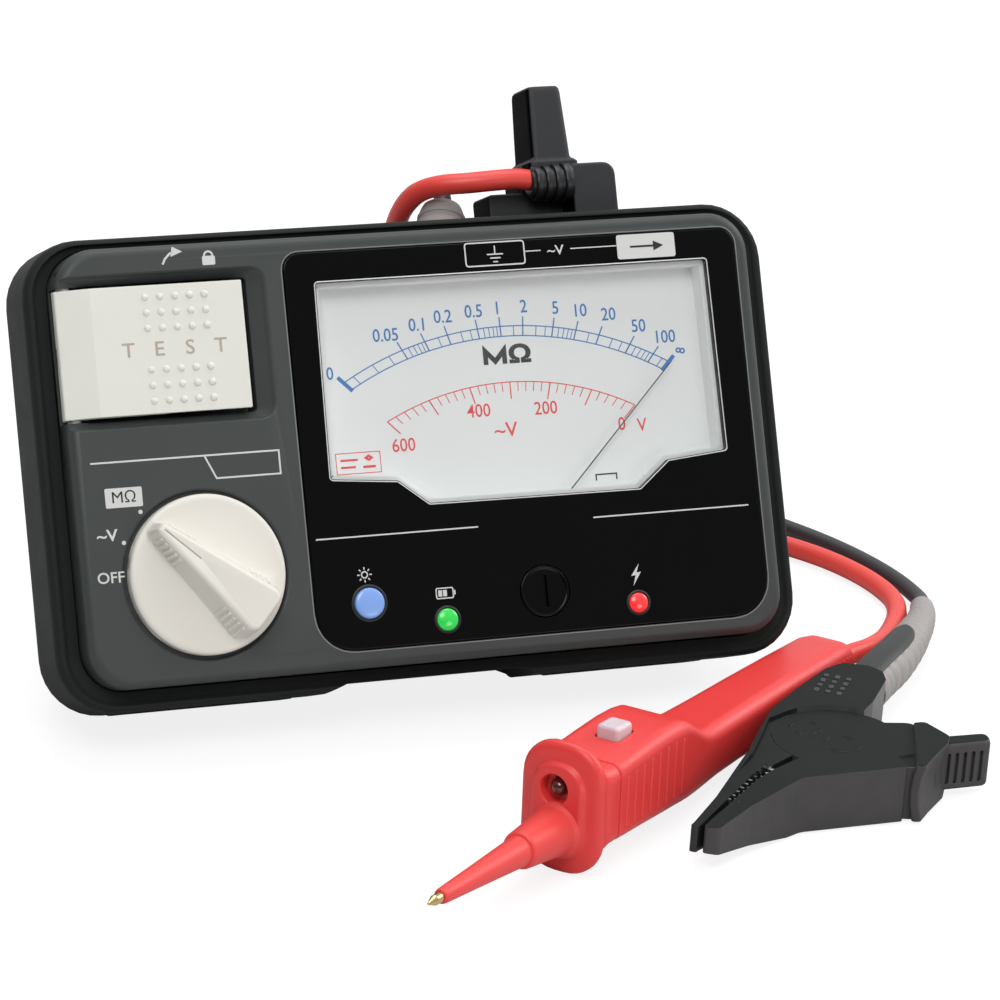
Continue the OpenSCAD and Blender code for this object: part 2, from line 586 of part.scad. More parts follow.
module line_plug() color([0.2, 0.2, 0.21]) in_case() difference() {
    union() {
        slab(-35, -18) rect(42.6, 44, 52.2, 56.3);
        slab(-35, -24.9) rect(26.6, 44, 42.8, 51.6);
        slab(-34, -24.9) rect(33.6, 50, 44, 57.2);
        hull() {
            slab(-33.4, -20.4) rect(34.6, 56.2, 45.4, 57.4);
            slab(-33, -21) rect(35.4, 57.4, 44.8, 58.2);
        }
        hull() {
            slab(-33, -21.4) rect(35.8, 57.4, 44.2, 59);
            slab(-32.6, -22) rect(36.2, 72, 43.6, 73);
        }
    }
    for (x = line_pins) translate([x, 42, terminal_z]) rotate([-90, 0, 0]) cylinder(r = pin_r, h = 4);
    // clear of the case round its mouth
    slab(-36, -33.8) rect(25, 40, 55, 45.5);
    slab(-22.2, -17) rect(25, 40, 55, 45.5);
}

module line_plug_pins() color("gold") in_case() for (x = line_pins) {
    translate([x, 31.5, terminal_z]) rotate([-90, 0, 0]) cylinder(r = pin_r, h = 14.5);
    translate([x, 31.5, terminal_z]) sphere(r = pin_r, $fn = 24);
}

module line_plug_relief() color([0.24, 0.24, 0.25]) in_case()
    translate([42.6, 52.8, -20.6]) rotate([0, -90, 0]) {
        cylinder(r = 3.3, h = 8.4);
        for (i = [0:3]) translate([0, 0, 0.4 + 2.1 * i]) cylinder(r = 4, h = 1.2);
    }

// Boot of the earth plug, a cone that leans up towards its cord
earth_boot_base = [16.6, 43.9, -28];
earth_boot_top = [18.4, 50.4, -30.6];

module earth_plug() color([0.6, 0.58, 0.57]) in_case() difference() {
    d = earth_boot_top - earth_boot_base;
    union() {
        translate(earth_boot_base) rotate([-90, 0, 0]) cylinder(r = 5.7, h = 1.2);
        translate(earth_boot_base + [0, 0.8, 0]) rotate([0, acos(unit(d)[2]), atan2(d[1], d[0])])
            cylinder(r1 = 5.6, r2 = 3.9, h = norm(d) - 0.6);
    }
    translate([earth_x, 42, terminal_z]) rotate([-90, 0, 0]) cylinder(r = pin_r, h = 3);
    slab(-40, -15) rect(5, 35, 30, 43.75);
}

module earth_plug_pin() color("gold") in_case() {
    translate([earth_x, 31.5, terminal_z]) rotate([-90, 0, 0]) cylinder(r = pin_r, h = 13.5);
    translate([earth_x, 31.5, terminal_z]) sphere(r = pin_r, $fn = 24);
}

module red_cord() color([0.9, 0.3, 0.26]) {
    even_tube(curve(red_plug_route, 2), red_d / 2);
    even_tube(curve(red_probe_route, 2), red_d / 2);
}

module black_cord() color([0.24, 0.23, 0.24]) {
    even_tube(curve(black_plug_route, 2), black_d / 2);
    even_tube(curve(black_clip_route, 2), black_d / 2);
}

// Outer shape of a stored coil, so many turns wide and two high
module coil_solid(r, d, z, turns) translate([coil_pos[0], coil_pos[1], z]) difference() {
    cylinder(r = r + turns * d / 2, h = 2 * d, $fn = 64);
    translate([0, 0, -1]) cylinder(r = r - turns * d / 2, h = 2 * d + 2, $fn = 64);
}

module red_coil() color([0.9, 0.3, 0.26]) coil_solid(red_coil_r, red_d, 0, 3);

module black_coil() color([0.24, 0.23, 0.24]) coil_solid(black_coil_r, black_d, 2 * red_d, 4);

// Round-cornered slice across the probe at s, a wide, from b0 to b1
module probe_slice(s, w, b0, b1, r, t = 0.2, side = 0) translate([s, side, (b0 + b1) / 2]) rotate([90, 0, 90])
    linear_extrude(t) round_rect(w, b1 - b0, r, $fn = 32);

module probe_nose() color([0.9, 0.3, 0.29]) in_probe() difference() {
    hull() {
        probe_slice(-2, 15.4, -12.2, 11, 6.5);
        probe_slice(0, 17.6, -13.6, 12.3, 7.2, 3.2);
        probe_slice(4.3, 16.8, -12.8, 11.8, 7);
    }
    translate([-3, 0.6, 3.4]) rotate([0, 90, 0]) cylinder(r = 3, h = 3.2);
    translate([-0.5, 0.6, 3.4]) rotate([0, 90, 0]) cylinder(r = 1.8, h = 3);
    translate([-4, 0, -4.6]) rotate([0, 90, 0]) cylinder(r = 3, h = 10);
}

module probe_lamp() color([0.9, 0.85, 0.85]) in_probe() translate([-0.4, 0.6, 3.4]) {
    rotate([0, 90, 0]) cylinder(r = 1.8, h = 2.8);
    sphere(r = 1.75, $fn = 24);
}

module probe_sleeve() color([0.92, 0.35, 0.33]) in_probe() translate([-2, 0, -4.6]) rotate([0, -90, 0])
    difference() {
        union() {
            translate([0, 0, -5]) cylinder(r = 2.95, h = 6);
            cylinder(r1 = 4.9, r2 = 4.6, h = 3);
            translate([0, 0, 3]) cylinder(r1 = 4.6, r2 = 3.6, h = 10);
            translate([0, 0, 13]) cylinder(r1 = 3.1, r2 = 1.5, h = 26.5);
        }
        translate([0, 0, -6]) cylinder(r = 1, h = 50, $fn = 24);
    }

module probe_pin() color("gold") in_probe() translate([2, 0, -4.6]) rotate([0, -90, 0]) {
    cylinder(r = 1, h = 45.4, $fn = 24);
    translate([0, 0, 45.4]) cylinder(r1 = 1, r2 = 0.25, h = 2, $fn = 24);
}

module probe_handle() color([0.9, 0.3, 0.29]) in_probe() difference() {
    union() {
        hull() {
            probe_slice(4.6, 17.2, -8.1, 7.2, 2.4);
            probe_slice(24, 17.2, -8.4, 8.8, 2.4);
            probe_slice(32, 17, -8.5, 8.6, 2.4);
            probe_slice(45, 14.6, -8.8, 2, 2.6);
        }
        hull() {
            probe_slice(40, 14.2, -8.6, 2.4, 2.8);
            probe_slice(72, 13.2, -8.4, 2.5, 2.8, side = 0.5);
            probe_slice(101, 12.4, -8.2, 2.6, 2.8, side = 0.7);
            probe_slice(106, 10.4, -7.4, 1.4, 3, side = 0.5);
        }
        translate([105.8, 0, -3.4]) rotate([0, 90, 0]) cylinder(r1 = 3.4, r2 = 3, h = 3);
    }
    // well for the button, and the bore for the cord
    translate([14.9, -2.8, 4]) cube([6.2, 5.6, 12]);
    translate([98, 0, -3.4]) rotate([0, 90, 0]) cylinder(r = red_d / 2, h = 14);
    translate([4, 0, -4.6]) rotate([0, 90, 0]) cylinder(r = 3.05, h = 5);
}

module probe_button() color([0.85, 0.8, 0.82]) in_probe() translate([15.2, -2.5, 6.6]) cube([5.6, 5, 4.4]);

// The clip lies on its side: both halves are plates that turn about an upright pin
module clip_front_plan() {
    polygon([[28.3, -107.6], [44.6, -95.4], [58, -88], [60, -82], [78, -77.6], [84.6, -79.2], [84.6, -92],
        [75.2, -92.6], [75.2, -97.5], [53.5, -97.5], [40, -103.6], [31.4, -108.8]]);
    translate(clip_pivot) intersection() {
        circle(leaf_r);
        translate([-leaf_r, -9]) square([2 * leaf_r, 9 + leaf_r]);
    }
}

module clip_rear_plan() polygon([[27.6, -107], [43.6, -94.4], [58.6, -85.6], [63, -86.8], [71, -84.6],
    [72, -78], [80, -70.2], [87, -61], [88, -57.2], [86.4, -54], [81.8, -51.4], [77, -53.4], [68, -60.6],
    [58.6, -69], [51.9, -78.1], [46.3, -86.3], [34.7, -98.7], [26.4, -106.2]]);

// Side profile of the jaws: full thickness at the pivot, a third of it at the tip
module jaw_side(z0, z1) translate([27, -107.4, 0]) rotate([90, 0, 31.8]) translate([0, 0, -40])
    linear_extrude(80) polygon([[-4, 3.4], [2, 3.2], [24, z0], [90, z0], [90, z1], [26, z1], [2, 8.6], [-4, 8.4]]);

module clip_front_jaw() color([0.2, 0.2, 0.21]) difference() {
    union() {
        intersection() {
            union() {
                // leaves of the hinge under and over the rear half, and the solid lever behind them
                slab(0, 3.9) clip_front_plan();
                slab(8.7, clip_h) clip_front_plan();
                slab(3.8, 8.8) intersection() {
                    clip_front_plan();
                    union() {
                        polygon([[20, -112], [27.6, -107.7], [44.4, -95.6], [57.6, -89], [62, -92], [62, -99], [40, -112]]);
                        polygon([[60, -92.5], [74, -88.6], [79, -78.4], [95, -78], [95, -104], [60, -104]]);
                    }
                }
            }
            jaw_side(0, clip_h);
        }
        // flange, its neck, and the grip
        slab(0, clip_h) polygon([[83.6, -80.4], [86.6, -80.4], [88.6, -87.2], [86.8, -90.2], [77.8, -99.2],
            [76.2, -98.2]]);
        slab(0.6, clip_h - 0.8) polygon([[74.8, -95.6], [84, -90], [84, -82], [74.8, -84]]);
        slab(1.2, 11.2) polygon([[84, -89.2], [96.8, -89.2], [98.2, -85.2], [86, -84.6]]);
    }
    translate([clip_pivot[0], clip_pivot[1], -1]) cylinder(r = clip_pin_r, h = 16);
    // slots of the grip
    for (i = [0:5]) translate([88.6 + 1.35 * i, -89.8, 2.8]) cube([0.6, 1.8, 6.8]);
    // seat of the spring round the pin
    translate([clip_pivot[0], clip_pivot[1], 3.8]) cylinder(r = 3.8, h = 5);
}

module clip_rear_jaw() color([0.2, 0.2, 0.21]) difference() {
    union() {
        slab(4.1, 8.5) clip_rear_plan();
        // jaw cover and cable block at full thickness, clear of the front half's leaves
        intersection() {
            slab(0.3, clip_h - 0.4) difference() {
                clip_rear_plan();
                translate(clip_pivot) circle(leaf_r + 0.6);
                polygon([[27.6, -107], [43.6, -94.4], [59.2, -85.2], [66, -76], [79, -74.4],
                    [96, -80], [96, -112], [30, -112]]);
            }
            jaw_side(0.3, clip_h - 0.4);
        }
    }
    translate([clip_pivot[0], clip_pivot[1], -1]) cylinder(r = clip_pin_r + fit, h = 16);
    translate([clip_pivot[0], clip_pivot[1], 3.8]) cylinder(r = 3.8, h = 5);
    even_tube(curve([boot_route[5], boot_route[6], boot_route[7] - [0.5, 0.6, 0]], 2), 4.6);
}

// Toothed metal strips along the jaw line
module tooth_row(side) for (i = [0:5]) translate([36.6 + 2.5 * i, -100.9 + 1.9 * i, 4.6])
    rotate(37) translate([0, side > 0 ? 0.45 : -1.75, 0]) cube([1.6, 1.3, 3.4]);

module clip_front_teeth() color("silver") tooth_row(-1);

module clip_rear_teeth() color("silver") tooth_row(1);

module clip_pin() color([0.3, 0.3, 0.31]) translate([clip_pivot[0], clip_pivot[1], 0])
    cylinder(r = clip_pin_r, h = clip_h);

module clip_spring() color("silver") translate([clip_pivot[0], clip_pivot[1], 4.3]) difference() {
    cylinder(r = 3.3, h = 4);
    translate([0, 0, -1]) cylinder(r = clip_pin_r + 0.3, h = 6);
}

module clip_boot() color([0.6, 0.58, 0.57]) {
    path = curve(boot_route, 3);
    last = len(path) - 1;
    tube(path, [for (i = [0:last]) i < last * 0.75 ? 2.3 + 2.5 * i / last / 0.75 : 4.8], 12);
}

protector();
rear_case();
front_case();
front_panel();
window_lens();
scale_plate();
pointer();
moving_coil();
taut_band();
meter_magnet();
meter_body();
zero_adjuster();
light_button();
light_switch();
display_board();
battery_led();
hazard_led();
knob();
knob_shaft();
rotary_switch();
measure_lever();
measure_pin();
measure_spring();
measure_switch();
main_board();
power_board();
transformer();
battery_box();
batteries();
battery_contacts();
battery_cover();
battery_cover_screw();
case_screws();
rubber_feet();
tilt_stand();
line_socket();
earth_socket();
line_plug();
line_plug_pins();
line_plug_relief();
earth_plug();
earth_plug_pin();
red_cord();
red_coil();
black_cord();
black_coil();
probe_handle();
probe_nose();
probe_sleeve();
probe_pin();
probe_lamp();
probe_button();
clip_front_jaw();
clip_rear_jaw();
clip_front_teeth();
clip_rear_teeth();
clip_pin();
clip_spring();
clip_boot();
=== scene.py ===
"""Dresses the needle insulation tester: its looks, leads, lamps and camera.

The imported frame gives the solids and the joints. Sizes here are millimetres in
the case's, the probe's or the table's own axes; a placement matrix turns them
into metres of the shared frame.
"""

from __future__ import annotations

import json
import logging
import math
from collections.abc import Callable, Sequence
from dataclasses import dataclass, field
from enum import Enum

import bmesh
import bpy
from mathutils import Matrix, Vector

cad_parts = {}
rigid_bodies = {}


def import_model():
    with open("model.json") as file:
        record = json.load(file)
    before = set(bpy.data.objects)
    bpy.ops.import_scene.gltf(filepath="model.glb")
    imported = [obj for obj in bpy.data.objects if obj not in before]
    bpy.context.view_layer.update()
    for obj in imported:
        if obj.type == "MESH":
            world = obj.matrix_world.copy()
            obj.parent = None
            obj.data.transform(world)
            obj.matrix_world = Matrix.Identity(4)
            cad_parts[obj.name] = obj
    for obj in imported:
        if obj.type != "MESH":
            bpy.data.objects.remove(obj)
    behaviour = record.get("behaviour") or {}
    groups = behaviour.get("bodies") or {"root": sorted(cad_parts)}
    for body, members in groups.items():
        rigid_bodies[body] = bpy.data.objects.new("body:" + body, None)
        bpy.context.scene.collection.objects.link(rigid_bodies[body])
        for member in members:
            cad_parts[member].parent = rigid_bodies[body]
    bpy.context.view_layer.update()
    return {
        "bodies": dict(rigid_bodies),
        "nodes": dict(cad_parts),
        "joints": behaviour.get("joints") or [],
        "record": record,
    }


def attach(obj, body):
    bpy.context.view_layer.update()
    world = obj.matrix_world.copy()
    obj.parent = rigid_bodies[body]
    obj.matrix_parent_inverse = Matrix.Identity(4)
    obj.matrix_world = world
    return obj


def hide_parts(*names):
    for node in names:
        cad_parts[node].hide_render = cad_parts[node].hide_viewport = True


LOG = logging.getLogger("tester")
MM = 0.001
Flat = tuple[float, float]
Triple = tuple[float, float, float]

LEAN = math.radians(26.5)
CASE_MIDDLE = Vector((0, -25.15, 55.849))
TABLE_PLACE = Matrix.Scale(MM, 4)
CASE_PLACE = (
    TABLE_PLACE
    @ Matrix.Translation(CASE_MIDDLE)
    @ Matrix.Rotation(math.pi / 2 - LEAN, 4, "X")
)
PROBE_PLACE = (
    TABLE_PLACE
    @ Matrix.Translation((1.9, -102.05, 13.8))
    @ Matrix.Rotation(math.radians(37.3), 4, "Z")
    @ Matrix.Rotation(math.radians(2.2), 4, "Y")
    @ Matrix.Rotation(math.radians(-3), 4, "X")
)


# ---------------------------------------------------------------- outlines


def shrunk(outline: Sequence[Flat], inset: float) -> list[Flat]:
    """Moves each side of a counter-clockwise polygon inwards.

    Args:
        outline: The polygon's corners.
        inset: How far the sides move in; a negative value moves them out.

    Returns:
        The new corners, as many as before.
    """
    moved = []
    count = len(outline)
    for i, corner in enumerate(outline):
        back = Vector(outline[i - 1]) - Vector(corner)
        ahead = Vector(outline[(i + 1) % count]) - Vector(corner)
        back.normalize()
        ahead.normalize()
        side_in = Vector((back.y, -back.x))
        side_out = Vector((-ahead.y, ahead.x))
        middle = side_in + side_out
        reach = max(0.2, 1 + side_in.dot(side_out))
        point = Vector(corner) + middle * (inset / reach)
        moved.append((point.x, point.y))
    return moved


def rounded(outline: Sequence[Flat], radius: float | Sequence[float], steps: int = 5) -> list[Flat]:
    """Rounds the corners of a polygon.

    Args:
        outline: Corners in order.
        radius: One radius for all corners, or one for each.
        steps: Points less one on each rounded corner.

    Returns:
        The rounded outline, steps + 1 points to a corner.
    """
    points: list[Flat] = []
    count = len(outline)
    for i, corner in enumerate(outline):
        wanted = radius if isinstance(radius, (int, float)) else radius[i]
        here = Vector(corner)
        back = Vector(outline[i - 1]) - here
        ahead = Vector(outline[(i + 1) % count]) - here
        room = 0.49 * min(back.length, ahead.length)
        back.normalize()
        ahead.normalize()
        half = math.acos(max(-1, min(1, back.dot(ahead)))) / 2
        cut = min(wanted / max(math.tan(half), 1e-3), room)
        start, end = here + back * cut, here + ahead * cut
        for step in range(steps + 1):
            t = step / steps
            bend = start * (1 - t) ** 2 + here * 2 * t * (1 - t) + end * t * t
            arc = bend.lerp(start.lerp(end, t), 0.12 * math.sin(math.pi * t))
            points.append((arc.x, arc.y))
    return points


def box_outline(x0: float, y0: float, x1: float, y1: float) -> list[Flat]:
    """Gives the corners of an upright rectangle, counter-clockwise."""
    return [(x0, y0), (x1, y0), (x1, y1), (x0, y1)]


def soft_box(width: float, height: float, radius: float, middle: float = 0, steps: int = 8) -> list[Flat]:
    """Gives a rectangle with truly circular corners.

    Args:
        width: Size along X.
        height: Size along Y.
        radius: Corner radius.
        middle: Height of its centre on Y.
        steps: Points less one on each corner.

    Returns:
        The outline, counter-clockwise from the lower right corner.
    """
    points: list[Flat] = []
    for quarter, (sx, sy) in enumerate(((1, -1), (1, 1), (-1, 1), (-1, -1))):
        for step in range(steps + 1):
            angle = math.radians(-90 + 90 * quarter + 90 * step / steps)
            x = sx * (width / 2 - radius) + radius * math.cos(angle)
            y = middle + sy * (height / 2 - radius) + radius * math.sin(angle)
            points.append((x, y))
    return points


def circle(radius: float, count: int, at: Flat = (0.0, 0.0)) -> list[Flat]:
    """Gives points round a circle, counter-clockwise from its right side."""
    angles = (2 * math.pi * j / count for j in range(count))
    return [(at[0] + radius * math.cos(a), at[1] + radius * math.sin(a)) for a in angles]


def lifted(outline: Sequence[Flat], z: float) -> list[Vector]:
    """Puts a flat outline at height z."""
    return [Vector((x, y, z)) for x, y in outline]


def spline(route: Sequence[Triple | Vector], parts: int) -> list[Vector]:
    """Draws a smooth curve through a route's points.

    Args:
        route: Points the curve passes through.
        parts: Steps between two neighbours.

    Returns:
        Points along the curve, its last point included.
    """
    p = [Vector(point) for point in route]
    p = [2 * p[0] - p[1], *p, 2 * p[-1] - p[-2]]
    line: list[Vector] = []
    for i in range(1, len(p) - 2):
        a, b, c, d = p[i - 1 : i + 3]
        for k in range(parts):
            t = k / parts
            square, cube = 2 * a - 5 * b + 4 * c - d, 3 * b - a - 3 * c + d
            line.append(0.5 * (2 * b + (c - a) * t + square * t * t + cube * t**3))
    return [*line, p[-2]]


# ---------------------------------------------------------------- solids


def linked(name: str, data: bpy.types.ID) -> bpy.types.Object:
    """Makes an object of some data and links it to the scene."""
    thing = bpy.data.objects.new(name, data)
    bpy.context.scene.collection.objects.link(thing)
    return thing


@dataclass
class Form:
    """Closed shells in millimetres, gathered to become one mesh."""

    points: list[Vector] = field(default_factory=list)
    faces: list[tuple[int, ...]] = field(default_factory=list)

    def loft(self, rings: Sequence[Sequence[Vector | Triple]], looped: bool = False) -> Form:
        """Skins rings that have the same number of points.

        Args:
            rings: Closed rings in order.
            looped: True joins the last ring to the first; False caps both ends.

        Returns:
            The form itself.
        """
        base, around = len(self.points), len(rings[0])
        for ring in rings:
            self.points += [Vector(point) for point in ring]
        for i in range(len(rings) if looped else len(rings) - 1):
            a, b = base + i * around, base + (i + 1) % len(rings) * around
            for j in range(around):
                k = (j + 1) % around
                self.faces.append((a + j, a + k, b + k, b + j))
        if not looped:
            end = base + (len(rings) - 1) * around
            self.faces.append(tuple(base + j for j in reversed(range(around))))
            self.faces.append(tuple(end + j for j in range(around)))
        return self

    def slab(
        self,
        outline: Sequence[Flat],
        z0: float,
        z1: float,
        corner: float | Sequence[float] = 0.5,
        top: float = 0.3,
        bottom: float = 0.0,
        place: Matrix | None = None,
        steps: int = 5,
    ) -> Form:
        """Adds a plate of a polygon with rounded corners and edges.

        Args:
            outline: Corners, counter-clockwise.
            z0: Lower face.
            z1: Upper face.
            corner: Radius of the upright corners, or one for each.
            top: Radius of the upper edge.
            bottom: Radius of the lower edge.
            place: Turns and moves the plate.
            steps: Fineness of the corners.

        Returns:
            The form itself.
        """
        levels: list[Flat] = []
        if bottom > 0:
            levels += [(bottom * (1 - math.sin(a)), z0 + bottom * (1 - math.cos(a))) for a in (0, 0.5, 1.05)]
            levels.append((0, z0 + bottom))
        else:
            levels.append((0, z0))
        if top > 0:
            levels.append((0, z1 - top))
            levels += [(top * (1 - math.sin(a)), z1 - top * (1 - math.cos(a))) for a in (1.05, 0.5, 0)]
        else:
            levels.append((0, z1))
        rings = []
        for inset, z in levels:
            if isinstance(corner, (int, float)):
                radius: float | list[float] = max(corner - inset * 0.6, 0.02)
            else:
                radius = [max(c - inset * 0.6, 0.02) for c in corner]
            ring = lifted(rounded(shrunk(outline, inset), radius, steps), z)
            rings.append([place @ point for point in ring] if place else ring)
        return self.loft(rings)

    def turned(
        self, profile: Sequence[Flat], place: Matrix | None = None, around: int = 48, looped: bool = False
    ) -> Form:
        """Turns a profile about the local Z axis.

        Args:
            profile: (radius, height) points from one end to the other.
            place: Moves the turned shape.
            around: Points on each ring.
            looped: True closes the profile on itself, for a ring or a tube.

        Returns:
            The form itself.
        """
        rings = []
        for radius, height in profile:
            ring = lifted(circle(radius, around), height)
            rings.append([place @ point for point in ring] if place else ring)
        return self.loft(rings, looped)

    def hose(
        self,
        path: Sequence[Vector],
        radius: Callable[[float], float],
        around: int = 16,
        section: Callable[[float, float], Flat] | None = None,
    ) -> Form:
        """Adds a tube along a path.

        Args:
            path: Centre line.
            radius: Radius at a share 0..1 of the way.
            around: Points on each ring.
            section: Optional outline point for (angle, share), in radii.

        Returns:
            The form itself.
        """
        last = len(path) - 1
        ahead = [(path[min(i + 1, last)] - path[max(i - 1, 0)]).normalized() for i in range(last + 1)]
        side = ahead[0].orthogonal() if abs(ahead[0].z) > 0.9 else ahead[0].cross(Vector((0, 0, 1)))
        rings = []
        for i, centre in enumerate(path):
            side = (side - ahead[i] * side.dot(ahead[i])).normalized()
            up = side.cross(ahead[i])
            ring = []
            for j in range(around):
                angle = 2 * math.pi * j / around
                x, y = section(angle, i / last) if section else (math.cos(angle), math.sin(angle))
                ring.append(centre + (side * x + up * y) * radius(i / last))
            rings.append(ring)
        return self.loft(rings)

    def mesh(self, name: str) -> bpy.types.Object:
        """Makes a mesh object whose faces point outwards."""
        data = bpy.data.meshes.new(name)
        data.from_pydata(self.points, [], self.faces)
        work = bmesh.new()
        work.from_mesh(data)
        bmesh.ops.remove_doubles(work, verts=work.verts, dist=1e-4)
        bmesh.ops.recalc_face_normals(work, faces=work.faces)
        work.to_mesh(data)
        work.free()
        return linked(name, data)


class Cut(Enum):
    """What a boolean step does with its tool."""

    AWAY = "DIFFERENCE"
    ALSO = "UNION"
    ONLY = "INTERSECT"


def settled(thing: bpy.types.Object) -> bpy.types.Object:
    """Turns an object with modifiers, or a curve or text, into a plain mesh.

    Args:
        thing: The object; it is removed.

    Returns:
        The plain mesh object that takes its place.
    """
    name = thing.name
    graph = bpy.context.evaluated_depsgraph_get()
    shown = thing.evaluated_get(graph)
    data = bpy.data.meshes.new_from_object(shown, preserve_all_data_layers=True, depsgraph=graph)
    bpy.data.objects.remove(thing)
    return linked(name, data)


def worked(thing: bpy.types.Object, tool: Form | bpy.types.Object, cut: Cut = Cut.AWAY) -> bpy.types.Object:
    """Applies one boolean step.

    Args:
        thing: The object to change.
        tool: The shape that cuts or joins it.
        cut: What the step does.

    Returns:
        The changed object.
    """
    other = tool.mesh(thing.name + "_tool") if isinstance(tool, Form) else tool
    step = thing.modifiers.new("step", "BOOLEAN")
    step.operation = cut.value
    step.solver = "EXACT"
    step.object = other
    step.use_self = cut is Cut.ALSO
    thing = settled(thing)
    bpy.data.objects.remove(other)
    return thing


def eased(thing: bpy.types.Object, width: float = 0.0, corner: float = 32) -> bpy.types.Object:
    """Rounds sharp edges a little and sets the shading.

    Args:
        thing: A mesh object in millimetres.
        width: Width of the rounding; 0 leaves the edges.
        corner: Angle in degrees from which an edge counts as sharp.

    Returns:
        The finished object.
    """
    if width > 0:
        ease = thing.modifiers.new("ease", "BEVEL")
        ease.width = width
        ease.segments = 2
        ease.limit_method = "ANGLE"
        ease.angle_limit = math.radians(corner)
        ease.harden_normals = False
        thing = settled(thing)
    data = thing.data
    data.polygons.foreach_set("use_smooth", [True] * len(data.polygons))
    data.set_sharp_from_angle(angle=math.radians(max(corner, 40)))
    weigh = thing.modifiers.new("weigh", "WEIGHTED_NORMAL")
    weigh.keep_sharp = True
    return settled(thing)


def joined(name: str, things: Sequence[bpy.types.Object]) -> bpy.types.Object:
    """Gathers plain mesh objects into one, keeping their materials.

    Args:
        name: The new object's name.
        things: Objects to gather; they are removed.

    Returns:
        The one object.
    """
    work = bmesh.new()
    data = bpy.data.meshes.new(name)
    for thing in things:
        offset = len(data.materials)
        for finish in thing.data.materials:
            data.materials.append(finish)
        before = len(work.faces)
        work.from_mesh(thing.data)
        work.faces.ensure_lookup_table()
        for face in work.faces[before:]:
            face.material_index += offset
        bpy.data.objects.remove(thing)
    work.to_mesh(data)
    work.free()
    return linked(name, data)


# ---------------------------------------------------------------- finishes


def linear(colour: Triple) -> tuple[float, float, float, float]:
    """Turns a display colour of 0..255 into the shader's linear colour."""
    return (*(((c / 255 + 0.055) / 1.055) ** 2.4 if c > 10 else c / 255 / 12.92 for c in colour), 1.0)


class Sockets:
    """Short names for the sockets that the shared groups use."""

    FLOAT = "NodeSocketFloat"
    COLOUR = "NodeSocketColor"
    VECTOR = "NodeSocketVector"


def shader_group(name: str, inputs: dict[str, str], outputs: dict[str, str]) -> bpy.types.NodeTree:
    """Makes an empty shader group, or finds the one made before.

    Args:
        name: The group's name.
        inputs: Socket names and kinds.
        outputs: Socket names and kinds.

    Returns:
        The group; it is empty of nodes when it is new.
    """
    if name in bpy.data.node_groups:
        return bpy.data.node_groups[name]
    group = bpy.data.node_groups.new(name, "ShaderNodeTree")
    for label, kind in inputs.items():
        group.interface.new_socket(name=label, in_out="INPUT", socket_type=kind)
    for label, kind in outputs.items():
        group.interface.new_socket(name=label, in_out="OUTPUT", socket_type=kind)
    return group


def cloud_swing(group: bpy.types.NodeTree, entry: bpy.types.Node, amount: str, detail: float) -> bpy.types.Node:
    """Adds noise that swings about nought by one of the group's inputs.

    Args:
        group: The group.
        entry: Its input node, with sockets Vector and Scale.
        amount: The input that says how far it swings.
        detail: Fineness of the noise.

    Returns:
        The last node, whose third input is what the swing is added to.
    """
    n, ln = group.nodes, group.links
    cloud, centre, swing = (n.new(k) for k in ("ShaderNodeTexNoise", "ShaderNodeMath", "ShaderNodeMath"))
    cloud.inputs["Detail"].default_value = detail
    centre.operation = "SUBTRACT"
    centre.inputs[1].default_value = 0.5
    swing.operation = "MULTIPLY_ADD"
    ln.new(entry.outputs["Vector"], cloud.inputs["Vector"])
    ln.new(entry.outputs["Scale"], cloud.inputs["Scale"])
    ln.new(cloud.outputs["Fac"], centre.inputs[0])
    ln.new(centre.outputs[0], swing.inputs[0])
    ln.new(entry.outputs[amount], swing.inputs[1])
    return swing


def tone_group() -> bpy.types.NodeTree:
    """Builds the group that lets a colour drift slowly over a surface."""
    group = shader_group(
        "tone_drift",
        {"Vector": Sockets.VECTOR, "Colour": Sockets.COLOUR, "Scale": Sockets.FLOAT, "Spread": Sockets.FLOAT},
        {"Colour": Sockets.COLOUR},
    )
    if group.nodes:
        return group
    n, ln = group.nodes, group.links
    entry, leave = n.new("NodeGroupInput"), n.new("NodeGroupOutput")
    swing, value = cloud_swing(group, entry, "Spread", 4), n.new("ShaderNodeHueSaturation")
    swing.inputs[2].default_value = 1.0
    ln.new(swing.outputs[0], value.inputs["Value"])
    ln.new(entry.outputs["Colour"], value.inputs["Color"])
    ln.new(value.outputs["Color"], leave.inputs["Colour"])
    return group


def grain_group() -> bpy.types.NodeTree:
    """Builds the group for the fine texture that a mould leaves."""
    group = shader_group(
        "mould_grain",
        {"Vector": Sockets.VECTOR, "Scale": Sockets.FLOAT, "Softness": Sockets.FLOAT},
        {"Height": Sockets.FLOAT},
    )
    if group.nodes:
        return group
    n, ln = group.nodes, group.links
    entry, leave = n.new("NodeGroupInput"), n.new("NodeGroupOutput")
    pits, cloud, mix = (n.new(kind) for kind in ("ShaderNodeTexVoronoi", "ShaderNodeTexNoise", "ShaderNodeMix"))
    pits.feature = "SMOOTH_F1"
    pits.inputs["Smoothness"].default_value = 0.7
    cloud.inputs["Detail"].default_value = 3
    ln.new(entry.outputs["Vector"], pits.inputs["Vector"])
    ln.new(entry.outputs["Vector"], cloud.inputs["Vector"])
    ln.new(entry.outputs["Scale"], pits.inputs["Scale"])
    ln.new(entry.outputs["Scale"], cloud.inputs["Scale"])
    ln.new(entry.outputs["Softness"], mix.inputs["Factor"])
    ln.new(pits.outputs["Distance"], mix.inputs["A"])
    ln.new(cloud.outputs["Fac"], mix.inputs["B"])
    ln.new(mix.outputs["Result"], leave.inputs["Height"])
    return group


